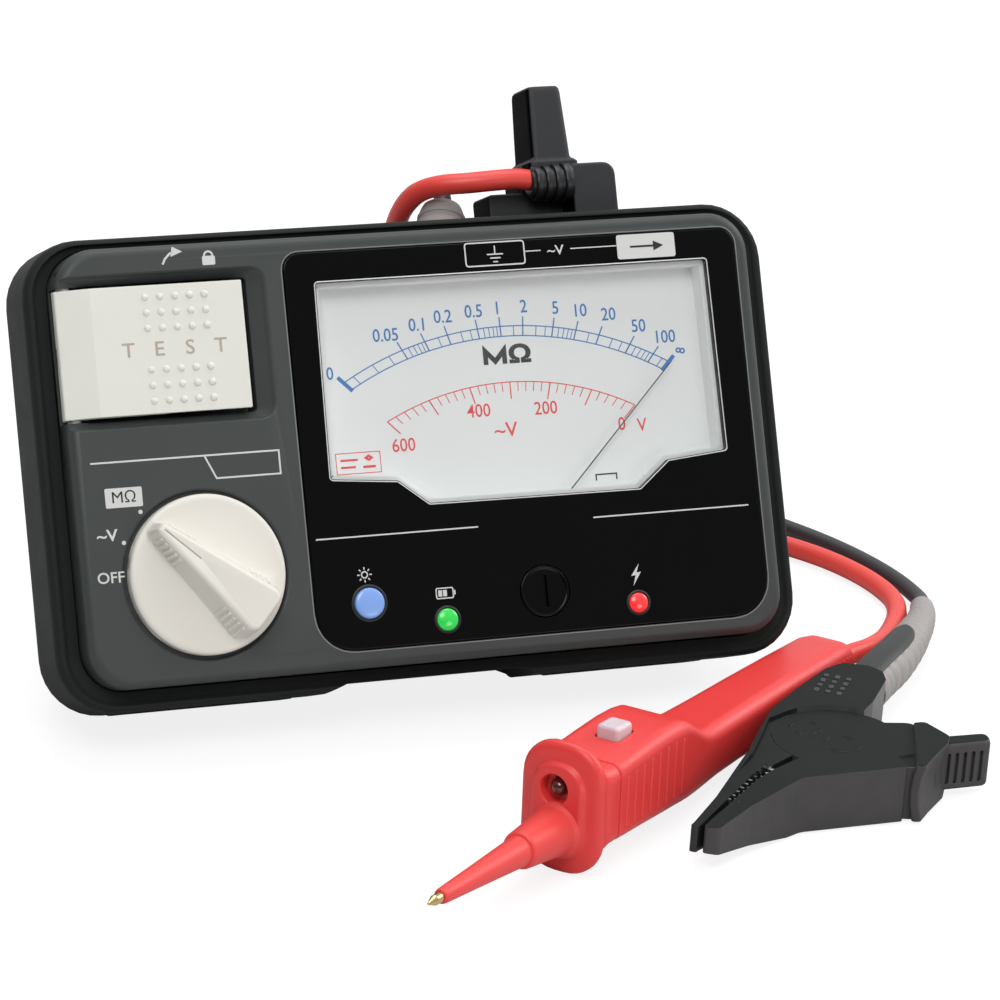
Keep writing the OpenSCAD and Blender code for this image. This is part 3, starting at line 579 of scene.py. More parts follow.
def rub_group() -> bpy.types.NodeTree:
    """Builds the group that marks where hands and tables have polished a surface."""
    group = shader_group(
        "hand_rub",
        {"Vector": Sockets.VECTOR, "Base": Sockets.FLOAT, "Swing": Sockets.FLOAT, "Scale": Sockets.FLOAT},
        {"Roughness": Sockets.FLOAT},
    )
    if group.nodes:
        return group
    n, ln = group.nodes, group.links
    entry, leave = n.new("NodeGroupInput"), n.new("NodeGroupOutput")
    swing = cloud_swing(group, entry, "Swing", 6)
    swing.use_clamp = True
    n["Noise Texture"].inputs["Roughness"].default_value = 0.62
    ln.new(entry.outputs["Base"], swing.inputs[2])
    ln.new(swing.outputs[0], leave.inputs["Roughness"])
    return group


@dataclass(frozen=True)
class Finish:
    """A surface: its colour, gloss, grain and wear."""

    name: str
    colour: Triple
    rough: float = 0.5
    rub: float = 0.18
    spread: float = 0.12
    tone_scale: float = 45.0
    grain: float = 0.02
    grain_scale: float = 2600.0
    softness: float = 0.4
    metal: float = 0.0
    coat: float = 0.0
    specular: float = 0.5
    inside: float = 0.0
    # Emission of the finish's own colour: a real glow on the panel lamps, painted light on the window walls and
    # the blue button.
    glow: float = 0.0

    def material(self) -> bpy.types.Material:
        """Gives this finish's material, built on first use."""
        if self.name in bpy.data.materials:
            return bpy.data.materials[self.name]
        made = bpy.data.materials.new(self.name)
        made.use_nodes = True
        self.build(made.node_tree)
        made.diffuse_color = linear(self.colour)
        return made

    def build(self, tree: bpy.types.NodeTree) -> None:
        """Wires the shared groups into the surface shader.

        Args:
            tree: The material's node tree.
        """
        n, ln = tree.nodes, tree.links
        shader = n["Principled BSDF"]
        where = n.new("ShaderNodeTexCoord").outputs["Object"]
        colour = linear(self.colour)
        tone = self.place(n, tone_group(), Scale=self.tone_scale, Spread=self.spread, Colour=colour)
        rub = self.place(n, rub_group(), Base=self.rough, Swing=self.rub, Scale=self.tone_scale * 2.3)
        grain = self.place(n, grain_group(), Scale=self.grain_scale, Softness=self.softness)
        for group in (tone, rub, grain):
            ln.new(where, group.inputs["Vector"])
        bump = n.new("ShaderNodeBump")
        bump.inputs["Distance"].default_value = self.grain * MM
        bump.inputs["Strength"].default_value = 1.0
        ln.new(grain.outputs["Height"], bump.inputs["Height"])
        ln.new(bump.outputs["Normal"], shader.inputs["Normal"])
        ln.new(tone.outputs["Colour"], shader.inputs["Base Color"])
        ln.new(rub.outputs["Roughness"], shader.inputs["Roughness"])
        shader.inputs["Metallic"].default_value = self.metal
        shader.inputs["Specular IOR Level"].default_value = self.specular
        shader.inputs["Coat Weight"].default_value = self.coat
        shader.inputs["Coat Roughness"].default_value = 0.06
        if self.inside:
            shader.inputs["Subsurface Weight"].default_value = self.inside
            shader.inputs["Subsurface Radius"].default_value = (0.003, 0.0028, 0.0025)
            shader.inputs["Subsurface Scale"].default_value = 0.3
        # Glow: the lamps' own light, and painted light on finishes that are no lamp.
        if self.glow:
            ln.new(tone.outputs["Colour"], shader.inputs["Emission Color"])
            shader.inputs["Emission Strength"].default_value = self.glow

    @staticmethod
    def place(nodes: bpy.types.Nodes, group: bpy.types.NodeTree, **values: object) -> bpy.types.Node:
        """Adds a group to a material with its own values.

        Args:
            nodes: The material's nodes.
            group: The shared group.
            values: Input values by socket name.

        Returns:
            The group's node.
        """
        node = nodes.new("ShaderNodeGroup")
        node.node_tree = group
        for label, value in values.items():
            node.inputs[label].default_value = value
        return node


@dataclass(frozen=True)
class ClearFinish(Finish):
    """Clear plastic that lets lamp light through to what lies behind it."""

    def build(self, tree: bpy.types.NodeTree) -> None:
        """Adds see-through to the plain surface.

        Args:
            tree: The material's node tree.
        """
        super().build(tree)
        n, ln = tree.nodes, tree.links
        shader = n["Principled BSDF"]
        shader.inputs["Transmission Weight"].default_value = 1.0
        shader.inputs["IOR"].default_value = 1.3
        rays, clear, mix, either = (
            n.new("ShaderNode" + kind) for kind in ("LightPath", "BsdfTransparent", "MixShader", "Math")
        )
        clear.inputs["Color"].default_value = (0.96, 0.97, 0.97, 1)
        either.operation = "MAXIMUM"
        ln.new(rays.outputs["Is Shadow Ray"], either.inputs[0])
        ln.new(rays.outputs["Is Diffuse Ray"], either.inputs[1])
        ln.new(either.outputs[0], mix.inputs["Fac"])
        ln.new(shader.outputs["BSDF"], mix.inputs[1])
        ln.new(clear.outputs["BSDF"], mix.inputs[2])
        ln.new(mix.outputs["Shader"], n["Material Output"].inputs["Surface"])


class Look:
    """The finishes of the tester's pieces."""

    FACE = Finish("face_plastic", (63, 67, 66), 0.46, spread=0.1, grain=0.012, specular=0.3)
    PROTECTOR = Finish("protector_plastic", (40, 43, 42), 0.46, spread=0.12, grain=0.014, specular=0.05)
    REAR = Finish("rear_plastic", (46, 48, 48), 0.5, grain=0.02)
    FEET = Finish("feet_finish", (22, 23, 23), 0.62, grain=0.05, grain_scale=1500)
    PANEL = Finish("panel_gloss", (2, 2, 3), 0.2, rub=0.04, spread=0.1, grain=0.0015, specular=0.16)
    LENS = ClearFinish("window_clear", (248, 250, 250), 0.02, rub=0.02, spread=0.02, grain=0.0006)
    # The lens's raised border in opaque pale grey: painted highlight for the light its clear edge catches.
    LIP = Finish("window_lip", (205, 206, 205), 0.22, rub=0.08, spread=0.2, grain=0.003, coat=0.5)
    # The window walls glow a little: painted light that lifts the shade in the well.
    WELL = Finish("window_wall", (214, 215, 213), 0.4, spread=0.08, grain=0.006, glow=0.12)
    DIAL = Finish("dial_card", (228, 228, 227), 0.6, rub=0.05, spread=0.03, grain=0.004)
    NEEDLE = Finish("needle_black", (52, 52, 54), 0.45, grain=0.003)
    INK_LIGHT = Finish("ink_light", (205, 206, 203), 0.6, spread=0.08, grain=0.004)
    # Thin pale line round the panel: painted highlight where the case's lip at the panel's edge catches light.
    PANEL_HIGHLIGHT = Finish("panel_edge", (122, 126, 124), 0.35, spread=0.5, grain=0.004, tone_scale=30)
    INK_DARK = Finish("ink_dark", (28, 29, 30), 0.6, spread=0.1, grain=0.004)
    INK_BLUE = Finish("ink_blue", (56, 116, 178), 0.6, spread=0.1, grain=0.004)
    INK_RED = Finish("ink_red", (222, 70, 68), 0.6, spread=0.1, grain=0.004)
    KNOB = Finish("knob_cream", (223, 220, 211), 0.42, spread=0.05, grain=0.01, inside=0.1)
    LEVER = Finish("lever_ivory", (221, 221, 213), 0.44, spread=0.04, grain=0.01, inside=0.1)
    # The blue button's faint glow is painted light: the button is no lamp.
    BLUE = Finish("button_blue", (122, 160, 224), 0.3, spread=0.12, grain=0.004, coat=0.5, glow=0.12)
    GREEN = Finish("lamp_green", (38, 190, 72), 0.25, spread=0.1, grain=0.002, coat=0.6, glow=0.45)
    RED = Finish("lamp_red", (236, 46, 46), 0.25, spread=0.1, grain=0.002, coat=0.6, glow=0.45)
    LEVER_MARK = Finish("lever_mark", (176, 162, 148), 0.6, grain=0.004)
    SCREW = Finish("screw_black", (14, 14, 15), 0.34, grain=0.004, coat=0.2)
    PLUG = Finish("plug_finish", (54, 55, 57), 0.46, spread=0.12, grain=0.02, specular=0.2)
    # Near-black copy of the plug's plastic for the faces that look to the left: painted shade.
    PLUG_SHADE = Finish("plug_side", (7, 7, 8), 0.5, spread=0.12, grain=0.02, specular=0.02)
    RELIEF = Finish("relief_black", (28, 29, 31), 0.4, spread=0.12, grain=0.02)
    GREY = Finish("boot_grey", (154, 149, 146), 0.52, spread=0.08, grain=0.02, tone_scale=70)
    BOOT_OVAL = Finish("boot_inset", (40, 44, 43), 0.5, grain=0.02)
    BRASS = Finish("pin_brass", (206, 184, 132), 0.24, metal=1.0, spread=0.12, grain=0.003)
    STEEL = Finish("bright_steel", (196, 198, 200), 0.28, metal=1.0, spread=0.1, grain=0.004)
    WIRE = Finish("wire_finish", (172, 174, 177), 0.32, metal=1.0, spread=0.1, grain=0.004)
    RED_CORD = Finish("cord_red", (232, 70, 62), 0.4, rub=0.12, spread=0.06, grain=0.01, tone_scale=80)
    BLACK_CORD = Finish("cord_black", (50, 49, 51), 0.44, rub=0.12, spread=0.08, grain=0.01, tone_scale=80)
    PROBE = Finish("probe_finish", (227, 60, 58), 0.4, spread=0.05, grain=0.01, inside=0.06)
    SLEEVE = Finish("sleeve_finish", (230, 68, 64), 0.42, spread=0.05, grain=0.01, inside=0.06)
    BUTTON = Finish("button_pale", (214, 198, 204), 0.4, spread=0.05, grain=0.006, inside=0.15)
    BULB = Finish("lamp_bulb", (84, 38, 35), 0.12, spread=0.3, grain=0.002, coat=0.8)
    CLIP = Finish("clip_finish", (43, 46, 45), 0.5, spread=0.12, grain=0.02, grain_scale=1900, specular=0.02)
    # Lighter grey for the moving half's side walls: painted light where they face the lamps; the coarse grain is
    # the moulding's own.
    CLIP_LIT_SIDE = Finish(
        "clip_side", (71, 69, 70), 0.5, spread=0.3, grain=0.06, grain_scale=1300, tone_scale=180, specular=0.25
    )
    CLIP_RIM = Finish("clip_rim", (27, 29, 29), 0.3, spread=0.14, grain=0.01)
    TIE = Finish("coil_tie", (30, 31, 32), 0.6, grain=0.03)
    BOARD = Finish("board_green", (24, 92, 50), 0.4, spread=0.2, grain=0.01)
    COPPER = Finish("copper_wire", (190, 108, 62), 0.35, metal=1.0, spread=0.2, grain=0.02)
    MAGNET = Finish("magnet_grey", (112, 112, 116), 0.5, metal=0.6, grain=0.02)
    CELL = Finish("cell_wrap", (52, 104, 168), 0.35, spread=0.15, grain=0.006, coat=0.3)
    HOUSING = Finish("inner_black", (30, 31, 33), 0.55, grain=0.02)


# ---------------------------------------------------------------- repeats and lettering


@dataclass(frozen=True)
class Spot:
    """One place of a repeated shape."""

    at: Triple
    turn: Triple = (0.0, 0.0, 0.0)
    stretch: Triple = (1.0, 1.0, 1.0)


class Repeater:
    """Geometry Nodes tree that sets one shape on many points."""

    TREE = "set_on_points"

    def tree(self) -> bpy.types.NodeTree:
        """Builds the tree once: points in, turned and stretched copies out.

        Returns:
            The node tree, with inputs Geometry, Shape, Size and Finish.
        """
        if self.TREE in bpy.data.node_groups:
            return bpy.data.node_groups[self.TREE]
        tree = bpy.data.node_groups.new(self.TREE, "GeometryNodeTree")
        for label, kind in (
            ("Geometry", "NodeSocketGeometry"),
            ("Shape", "NodeSocketObject"),
            ("Size", "NodeSocketFloat"),
            ("Finish", "NodeSocketMaterial"),
        ):
            tree.interface.new_socket(name=label, in_out="INPUT", socket_type=kind)
        tree.interface.new_socket(name="Geometry", in_out="OUTPUT", socket_type="NodeSocketGeometry")
        n, ln = tree.nodes, tree.links
        entry, leave = n.new("NodeGroupInput"), n.new("NodeGroupOutput")
        shape, place, real, paint = (
            n.new(k)
            for k in (
                "GeometryNodeObjectInfo",
                "GeometryNodeInstanceOnPoints",
                "GeometryNodeRealizeInstances",
                "GeometryNodeSetMaterial",
            )
        )
        turn, stretch = (n.new("GeometryNodeInputNamedAttribute") for _ in range(2))
        turn.data_type = stretch.data_type = "FLOAT_VECTOR"
        turn.inputs["Name"].default_value = "turn"
        stretch.inputs["Name"].default_value = "stretch"
        size = n.new("ShaderNodeVectorMath")
        size.operation = "SCALE"
        ln.new(entry.outputs["Geometry"], place.inputs["Points"])
        ln.new(entry.outputs["Shape"], shape.inputs["Object"])
        ln.new(shape.outputs["Geometry"], place.inputs["Instance"])
        ln.new(turn.outputs["Attribute"], place.inputs["Rotation"])
        ln.new(stretch.outputs["Attribute"], size.inputs[0])
        ln.new(entry.outputs["Size"], size.inputs["Scale"])
        ln.new(size.outputs["Vector"], place.inputs["Scale"])
        ln.new(place.outputs["Instances"], real.inputs["Geometry"])
        ln.new(real.outputs["Geometry"], paint.inputs["Geometry"])
        ln.new(entry.outputs["Finish"], paint.inputs["Material"])
        ln.new(paint.outputs["Geometry"], leave.inputs["Geometry"])
        return tree

    def set_out(
        self, name: str, spots: Sequence[Spot], shape: Form, finish: Finish, size: float = 1.0
    ) -> bpy.types.Object:
        """Repeats a shape.

        Args:
            name: The piece's name.
            spots: Where the copies stand.
            shape: The repeated form, drawn round its own origin.
            finish: The copies' finish.
            size: Scale of every copy.

        Returns:
            A plain mesh object in millimetres.
        """
        master = eased(shape.mesh(name + "_one"))
        data = bpy.data.meshes.new(name)
        data.from_pydata([spot.at for spot in spots], [], [])
        for label in ("turn", "stretch"):
            values = data.attributes.new(label, "FLOAT_VECTOR", "POINT")
            values.data.foreach_set("vector", [v for spot in spots for v in getattr(spot, label)])
        points = linked(name, data)
        tree = self.tree()
        step = points.modifiers.new("repeat", "NODES")
        step.node_group = tree
        ids = {item.name: item.identifier for item in tree.interface.items_tree if item.in_out == "INPUT"}
        step[ids["Shape"]] = master
        step[ids["Size"]] = size
        step[ids["Finish"]] = finish.material()
        piece = settled(points)
        bpy.data.objects.remove(master)
        return piece


@dataclass
class Printer:
    """Prints words and marks as thin ink on a plane."""

    height: float
    finish: Finish
    made: list[bpy.types.Object] = field(default_factory=list)
    film: float = 0.03

    def word(
        self, text: str, at: Flat, size: float, weight: float = 0.0, turn: float = 0.0, wide: float = 1.0
    ) -> None:
        """Prints a word.

        Args:
            text: What it says.
            at: Its centre.
            size: Cap height in millimetres.
            weight: Extra stroke width.
            turn: Turn in degrees.
            wide: Stretch along the word.
        """
        curve = bpy.data.curves.new("word", "FONT")
        curve.body = text
        curve.size = size / 0.7
        curve.offset = weight
        curve.extrude = self.film / 2
        curve.align_x = curve.align_y = "CENTER"
        curve.resolution_u = 3
        flat = settled(linked("word", curve))
        flat.data.transform(
            Matrix.Translation((at[0], at[1], self.height + self.film / 2))
            @ Matrix.Rotation(math.radians(turn), 4, "Z")
            @ Matrix.Diagonal((wide, 1, 1, 1))
        )
        self.made.append(flat)

    def patch(self, outline: Sequence[Flat]) -> None:
        """Prints a filled outline, its corners given counter-clockwise."""
        rings = [lifted(outline, self.height), lifted(outline, self.height + self.film)]
        self.made.append(Form().loft(rings).mesh("patch"))

    def stroke(self, path: Sequence[Flat], width: float, looped: bool = False) -> None:
        """Prints a line of even width.

        Args:
            path: Points that the line passes through.
            width: Line width.
            looped: True joins the end to the start.
        """
        points = [Vector(p) for p in path]
        count = len(points)
        left, right = [], []
        for i, here in enumerate(points):
            back = points[i - 1] if looped or i else here - (points[1] - here)
            ahead = points[(i + 1) % count] if looped or i < count - 1 else here + (here - points[-2])
            a, b = (here - back).normalized(), (ahead - here).normalized()
            mitre = Vector((-(a.y + b.y), a.x + b.x))
            mitre = mitre.normalized() * width / 2 / max(0.35, mitre.length / 2)
            left.append(here + mitre)
            right.append(here - mitre)
        form = Form()
        for i in range(count if looped else count - 1):
            k = (i + 1) % count
            quad = [right[i], right[k], left[k], left[i]]
            form.loft([lifted(quad, self.height), lifted(quad, self.height + self.film)])
        self.made.append(form.mesh("stroke"))

    def ring(self, at: Flat, radius: float, width: float, start: float = 0, stop: float = 360) -> None:
        """Prints an arc or a whole circle.

        Args:
            at: Centre.
            radius: Radius of its middle line.
            width: Line width.
            start: First angle in degrees.
            stop: Last angle in degrees.
        """
        whole = stop - start >= 360
        steps = max(10, int(abs(stop - start) / 360 * radius * 9))
        angles = [math.radians(start + (stop - start) * i / steps) for i in range(steps + (0 if whole else 1))]
        line = [(at[0] + radius * math.cos(a), at[1] + radius * math.sin(a)) for a in angles]
        self.stroke(line, width, whole)

    def dot(self, at: Flat, radius: float) -> None:
        """Prints a round dot."""
        self.patch(circle(radius, 20, at))

    def print_out(self, name: str) -> bpy.types.Object:
        """Gathers the ink into one mesh object.

        Args:
            name: The piece's name.

        Returns:
            The plain mesh object.
        """
        sheet = joined(name, self.made)
        self.made = []
        sheet.data.materials.clear()
        sheet.data.materials.append(self.finish.material())
        for face in sheet.data.polygons:
            face.material_index = 0
        return sheet


# ---------------------------------------------------------------- the bench


@dataclass
class Bench:
    """Places finished pieces in the frame and keeps the log."""

    frame: dict
    repeater: Repeater = field(default_factory=Repeater)

    def fit(
        self,
        thing: bpy.types.Object,
        place: Matrix,
        finish: Finish | None,
        body: str,
        replaces: Sequence[str] = (),
    ) -> bpy.types.Object:
        """Puts a finished piece in its place.

        Args:
            thing: A mesh object in millimetres.
            place: Matrix to the shared frame.
            finish: Its finish, or None when it has its materials already.
            body: The body that it rides on.
            replaces: CAD nodes that it stands for.

        Returns:
            The piece.
        """
        thing.data.transform(place)
        if finish:
            thing.data.materials.clear()
            thing.data.materials.append(finish.material())
            thing.data.polygons.foreach_set("material_index", [0] * len(thing.data.polygons))
        thing.data.update()
        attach(thing, body)
        if replaces:
            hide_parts(*replaces)
        LOG.info("%s: %d faces on %s", thing.name, len(thing.data.polygons), body)
        return thing

    def on_case(
        self, thing: bpy.types.Object, finish: Finish | None, slot: str, *replaces: str, body: str = "tester"
    ) -> bpy.types.Object:
        """Fits a piece that is drawn in the case's axes; slot is not used, and its other arguments are those of
        fit.
        """
        return self.fit(thing, CASE_PLACE, finish, body, replaces)

    def from_node(
        self, node: str, name: str, place: Matrix, ease: float, corner: float = 32
    ) -> bpy.types.Object:
        """Copies a CAD node and rounds its edges.

        Args:
            node: The node's name.
            name: The copy's name.
            place: The frame that the copy is turned back into.
            ease: Width of the rounding.
            corner: Angle in degrees from which an edge counts as sharp.

        Returns:
            The copy, in millimetres.
        """
        data = self.frame["nodes"][node].data.copy()
        data.materials.clear()
        data.transform(place.inverted())
        work = bmesh.new()
        work.from_mesh(data)
        bmesh.ops.remove_doubles(work, verts=work.verts, dist=2e-3)
        bmesh.ops.dissolve_limit(work, angle_limit=math.radians(1.5), verts=work.verts, edges=work.edges)
        work.to_mesh(data)
        work.free()
        for label in [a.name for a in data.attributes if a.name in ("custom_normal", "sharp_face")]:
            data.attributes.remove(data.attributes[label])
        return eased(linked(name, data), ease, corner)

    def paint(self, node: str, finish: Finish) -> None:
        """Gives a CAD node that stays in view a better material."""
        data = self.frame["nodes"][node].data
        data.materials.clear()
        data.materials.append(finish.material())


# ---------------------------------------------------------------- studio


@dataclass
class Studio:
    """Camera, pale floor and soft light."""

    eye: Triple = (-0.30822, -0.84220, 0.39853)
    right: Triple = (0.9368, -0.3440, 0.0632)
    down: Triple = (-0.0746, -0.3731, -0.9248)
    lens: float = 171.77
    floor_reach: float = 4.0
    lamps: tuple[tuple[str, Triple, float, float], ...] = (
        ("key", (-0.38, -0.82, 1.15), 0.8, 9.3),
        ("top", (0.15, 0.35, 1.35), 0.9, 6.2),
        ("rim", (1.05, 0.1, 0.62), 0.6, 3.6),
        ("front", (0.42, -1.3, 0.1), 0.6, 3.2),
    )
    aim: Vector = field(default_factory=lambda: Vector((0, -0.01, 0.04)))

    def camera(self) -> bpy.types.Object:
        """Sets up the camera.

        Returns:
            The camera.
        """
        data = bpy.data.cameras.new("camera")
        data.lens = self.lens
        data.clip_start = 0.02
        data.clip_end = 30
        camera = linked("camera", data)
        x, down = Vector(self.right).normalized(), Vector(self.down)
        z = x.cross(-down).normalized()
        y = z.cross(x)
        camera.matrix_world = Matrix.Translation(self.eye) @ Matrix((x, y, z)).transposed().to_4x4()
        bpy.context.scene.camera = camera
        return camera

    def light(self) -> None:
        """Hangs the soft lamps and sets the world."""
        for name, at, size, power in self.lamps:
            data = bpy.data.lights.new(name, "AREA")
            data.shape = "DISK"
            data.size = size
            data.energy = power
            lamp = linked(name, data)
            lamp.location = at
            lamp.rotation_euler = (self.aim - Vector(at)).to_track_quat("-Z", "Y").to_euler()
        world = bpy.data.worlds.new("studio")
        world.use_nodes = True
        bpy.context.scene.world = world
        n, ln = world.node_tree.nodes, world.node_tree.links
        rays, way, bright, lift, ramp, seen = (
            n.new(k)
            for k in (
                "ShaderNodeLightPath",
                "ShaderNodeTexCoord",
                "ShaderNodeVectorMath",
                "ShaderNodeMath",
                "ShaderNodeValToRGB",
                "ShaderNodeMath",
            )
        )
        # dim in front and on the left, so that gloss stays deep, and bright behind and above
        bright.operation = "DOT_PRODUCT"
        bright.inputs[1].default_value = (0.6, 0.5, 0.85)
        lift.operation = "MULTIPLY_ADD"
        lift.inputs[1].default_value = 0.5
        lift.inputs[2].default_value = 0.5
        ln.new(way.outputs["Generated"], bright.inputs[0])
        ln.new(bright.outputs["Value"], lift.inputs[0])
        ln.new(lift.outputs[0], ramp.inputs["Fac"])
        ramp.color_ramp.elements[0].position = 0.32
        ramp.color_ramp.elements[0].color = (0.05, 0.05, 0.05, 1)
        ramp.color_ramp.elements[1].position = 0.95
        ramp.color_ramp.elements[1].color = (0.78, 0.78, 0.79, 1)
        shade, white, mix = n["Background"], n.new("ShaderNodeBackground"), n.new("ShaderNodeMixShader")
        shade.inputs["Strength"].default_value = 1.0
        white.inputs["Color"].default_value = (1, 1, 1, 1)
        white.inputs["Strength"].default_value = 1.0
        seen.operation = "MAXIMUM"
        ln.new(ramp.outputs["Color"], shade.inputs["Color"])
        ln.new(rays.outputs["Is Camera Ray"], seen.inputs[0])
        ln.new(rays.outputs["Is Transmission Ray"], seen.inputs[1])
        ln.new(seen.outputs[0], mix.inputs["Fac"])
        ln.new(shade.outputs[0], mix.inputs[1])
        ln.new(white.outputs[0], mix.inputs[2])
        ln.new(mix.outputs[0], n["World Output"].inputs["Surface"])

    def floor(self) -> bpy.types.Object:
        """Lays a white floor that keeps the object's shadow.

        Returns:
            The floor.
        """
        reach = self.floor_reach
        form = Form()
        form.points = lifted(box_outline(-reach, -reach, reach, reach), 0)
        form.faces = [(0, 1, 2, 3)]
        floor = form.mesh("floor")
        floor.data.transform(Matrix.Translation((0, 0, -0.0004)))
        made = bpy.data.materials.new("floor_white")
        made.use_nodes = True
        n, ln = made.node_tree.nodes, made.node_tree.links
        shader = n["Principled BSDF"]
        shader.inputs["Base Color"].default_value = (0.58, 0.58, 0.58, 1)
        shader.inputs["Roughness"].default_value = 0.85
        shader.inputs["Specular IOR Level"].default_value = 0.1
        rays, lit, both, seen = (
            n.new(k)
            for k in ("ShaderNodeLightPath", "ShaderNodeEmission", "ShaderNodeMixShader", "ShaderNodeMath")
        )
        lit.inputs["Strength"].default_value = 1.36
        seen.operation = "MULTIPLY"
        seen.inputs[1].default_value = 0.62
        ln.new(rays.outputs["Is Camera Ray"], seen.inputs[0])
        ln.new(seen.outputs[0], both.inputs["Fac"])
        ln.new(shader.outputs[0], both.inputs[1])
        ln.new(lit.outputs[0], both.inputs[2])
        ln.new(both.outputs[0], n["Material Output"].inputs["Surface"])
        floor.data.materials.append(made)
        return floor


# ---------------------------------------------------------------- leads


def on_table(*points: Triple, place: Matrix = TABLE_PLACE) -> tuple[Vector, ...]:
    """Gives points in table millimetres.

    Args:
        points: Points in the axes of place.
        place: The case's, the probe's or the table's own matrix.

    Returns:
        The points as vectors.
    """
    return tuple(Vector(p) if place is TABLE_PLACE else (place @ Vector(p)) / MM for p in points)


BOOT_ROUTE = (
    (121.3, -6, 2.5), (118.1, -13.1, 3.6), (113.6, -20.9, 4.9), (108.6, -28.4, 6.3),
    (103.7, -35.3, 7.3), (96.9, -43.5, 7.8), (90, -50.2, 7.7), (85.6, -54.4, 7.3),
)


@dataclass
class Lead:
    """A test lead: out of its plug, wound into a coil, and on to its tool."""

    name: str
    thick: float
    finish: Finish
    nodes: tuple[str, ...]
    slot: str
    from_plug: tuple[Vector, ...]
    to_tool: tuple[Vector, ...]
    turns: tuple[Flat, ...]
    leave_at: float
    length: float
    centre: Flat = (45.0, 84.0)
    shift_zone: float = 60.0
    step: float = 7.5
    bulge: float = 2.4

    def coil(self) -> list[Vector]:
        """Winds the spare length, each turn round except where it shifts by a pitch.

        Returns:
            Points along the coil, clockwise from its left side.
        """
        line = []
        last = len(self.turns) - 1
        for k, (radius, z) in enumerate(self.turns):
            whole = 360.0 if k < last else 180.0 - self.leave_at
            following = self.turns[min(k + 1, last)]
            count = round(whole / self.step)
            for i in range(count + (1 if k == last else 0)):
                gone = whole * i / count
                share = max(0.0, (gone - (360 - self.shift_zone)) / self.shift_zone)
                ease = share * share * (3 - 2 * share)
                rise = following[1] != z
                bulge = self.bulge * math.sin(math.pi * share) if rise else 0
                r = radius + (following[0] - radius) * ease - bulge
                angle = math.radians(180 - gone)
                x, y = self.centre[0] + r * math.cos(angle), self.centre[1] + r * math.sin(angle)
                line.append(Vector((x, y, z + (following[1] - z) * ease)))
        return line

    def path(self) -> list[Vector]:
        """Gives the whole centre line, in table millimetres."""
        coil = self.coil()
        first = spline([*self.from_plug, coil[0], coil[2]], 5)[:-5]
        last = spline([coil[-3], coil[-1], *self.to_tool], 5)[5:]
        return [*first[:-1], *coil[:-1], *last]

    def build(self, bench: Bench) -> None:
        """Makes the lead.

        Args:
            bench: Where it is placed.
        """
        line = self.path()
        cord = eased(Form().hose(line, lambda share: self.thick / 2, 14).mesh(self.name))
        bench.fit(cord, TABLE_PLACE, self.finish, "tester", self.nodes)

    def declare(self, pieces: Sequence[bpy.types.Object | str]) -> None:
        """Takes the pieces that lie on the lead and does nothing with them.

        Args:
            pieces: The plug and tool pieces on it; not used.
        """


def red_lead() -> Lead:
    """Gives the red lead with its route."""
    return Lead(
        "red_lead",
        4.3,
        Look.RED_CORD,
        ("red_cord", "red_coil"),
        "red_cord",
        on_table(
            (34.6, 53.5, -20.6), (31.4, 54, -20.7), (27, 54, -21.2), (21.8, 53.9, -22.3), (16.4, 54, -24.8),
            (13, 53.3, -28.4), (11, 51, -32.6), (10.6, 48.2, -37.4), (10.8, 44.6, -42.4), place=CASE_PLACE,
        ) + on_table(
            (11.2, 42, 62), (11.6, 45.4, 50), (12.1, 49, 38), (12.7, 54, 25), (13.5, 60.5, 12.5),
            (14.6, 68, 4.6), (15.9, 76, 2.4),
        ),
        on_table(
            (73.4, 79, 6.2), (74, 70, 4.4), (76.5, 61, 2.6), (81.5, 52.5, 2.2), (88.4, 45.2, 2.2),
            (97, 38.4, 2.2), (104.8, 31.6, 2.2), (110.4, 23.6, 2.2), (114.2, 15.2, 2.2), (116.3, 6.8, 2.2),
            (116.6, -1.4, 2.2), (114.4, -8.6, 2.4), (110.5, -15.3, 2.7), (104.7, -23.5, 3.8),
            (97.6, -31.3, 5.7), (91.2, -35.4, 6.6),
        ) + on_table(*((along, 0, -3.4) for along in (104, 90, 72, 54, 36)), place=PROBE_PLACE),
        ((28.3, 2.15), (24, 2.15), (19.7, 2.15), (19.7, 6.45), (24, 6.45), (28.3, 6.45)),
        0.0,
        1.18,
    )


def black_lead() -> Lead:
    """Gives the black lead with its route."""
    return Lead(
        "black_lead",
        3.6,
        Look.BLACK_CORD,
        ("black_cord", "black_coil"),
        "black_cord",
        on_table(
            (18.3, 49.8, -30.3), (19.2, 52.4, -31.9), (19.6, 54.6, -35), (18.7, 55.5, -39.4),
            (17.2, 55, -44.2), (15.8, 52.6, -48.6), (14.9, 48.8, -52), place=CASE_PLACE,
        ) + on_table(
            (14.2, 46.4, 64), (13.6, 49.4, 52), (12.8, 53, 40), (12.8, 57.6, 29), (14.2, 63.5, 20),
            (16.2, 70.6, 14.2), (17.2, 78.6, 11.8),
        ),
        on_table(
            (71.4, 96.6, 13.2), (77.2, 90, 10.8), (82.6, 82.6, 7.2), (88, 74.8, 4), (93.6, 66.8, 2.2),
            (99.6, 58.4, 1.8), (105.4, 49.4, 1.8), (110.6, 40.6, 1.8), (115, 32.2, 1.8), (118.6, 23.4, 1.8),
            (121.2, 14.6, 1.8), (122.6, 6.4, 1.8), (122.6, -1.8, 2), *BOOT_ROUTE, (79.5, -60.2, 6.6),
            (73, -66.2, 6.3),
        ),
        (
            (27.7, 10.4), (24.1, 10.4), (20.5, 10.4), (16.9, 10.4),
            (16.9, 14), (20.5, 14), (24.1, 14), (27.7, 14),
        ),
        45.0,
        1.32,
        bulge=2.0,
    )


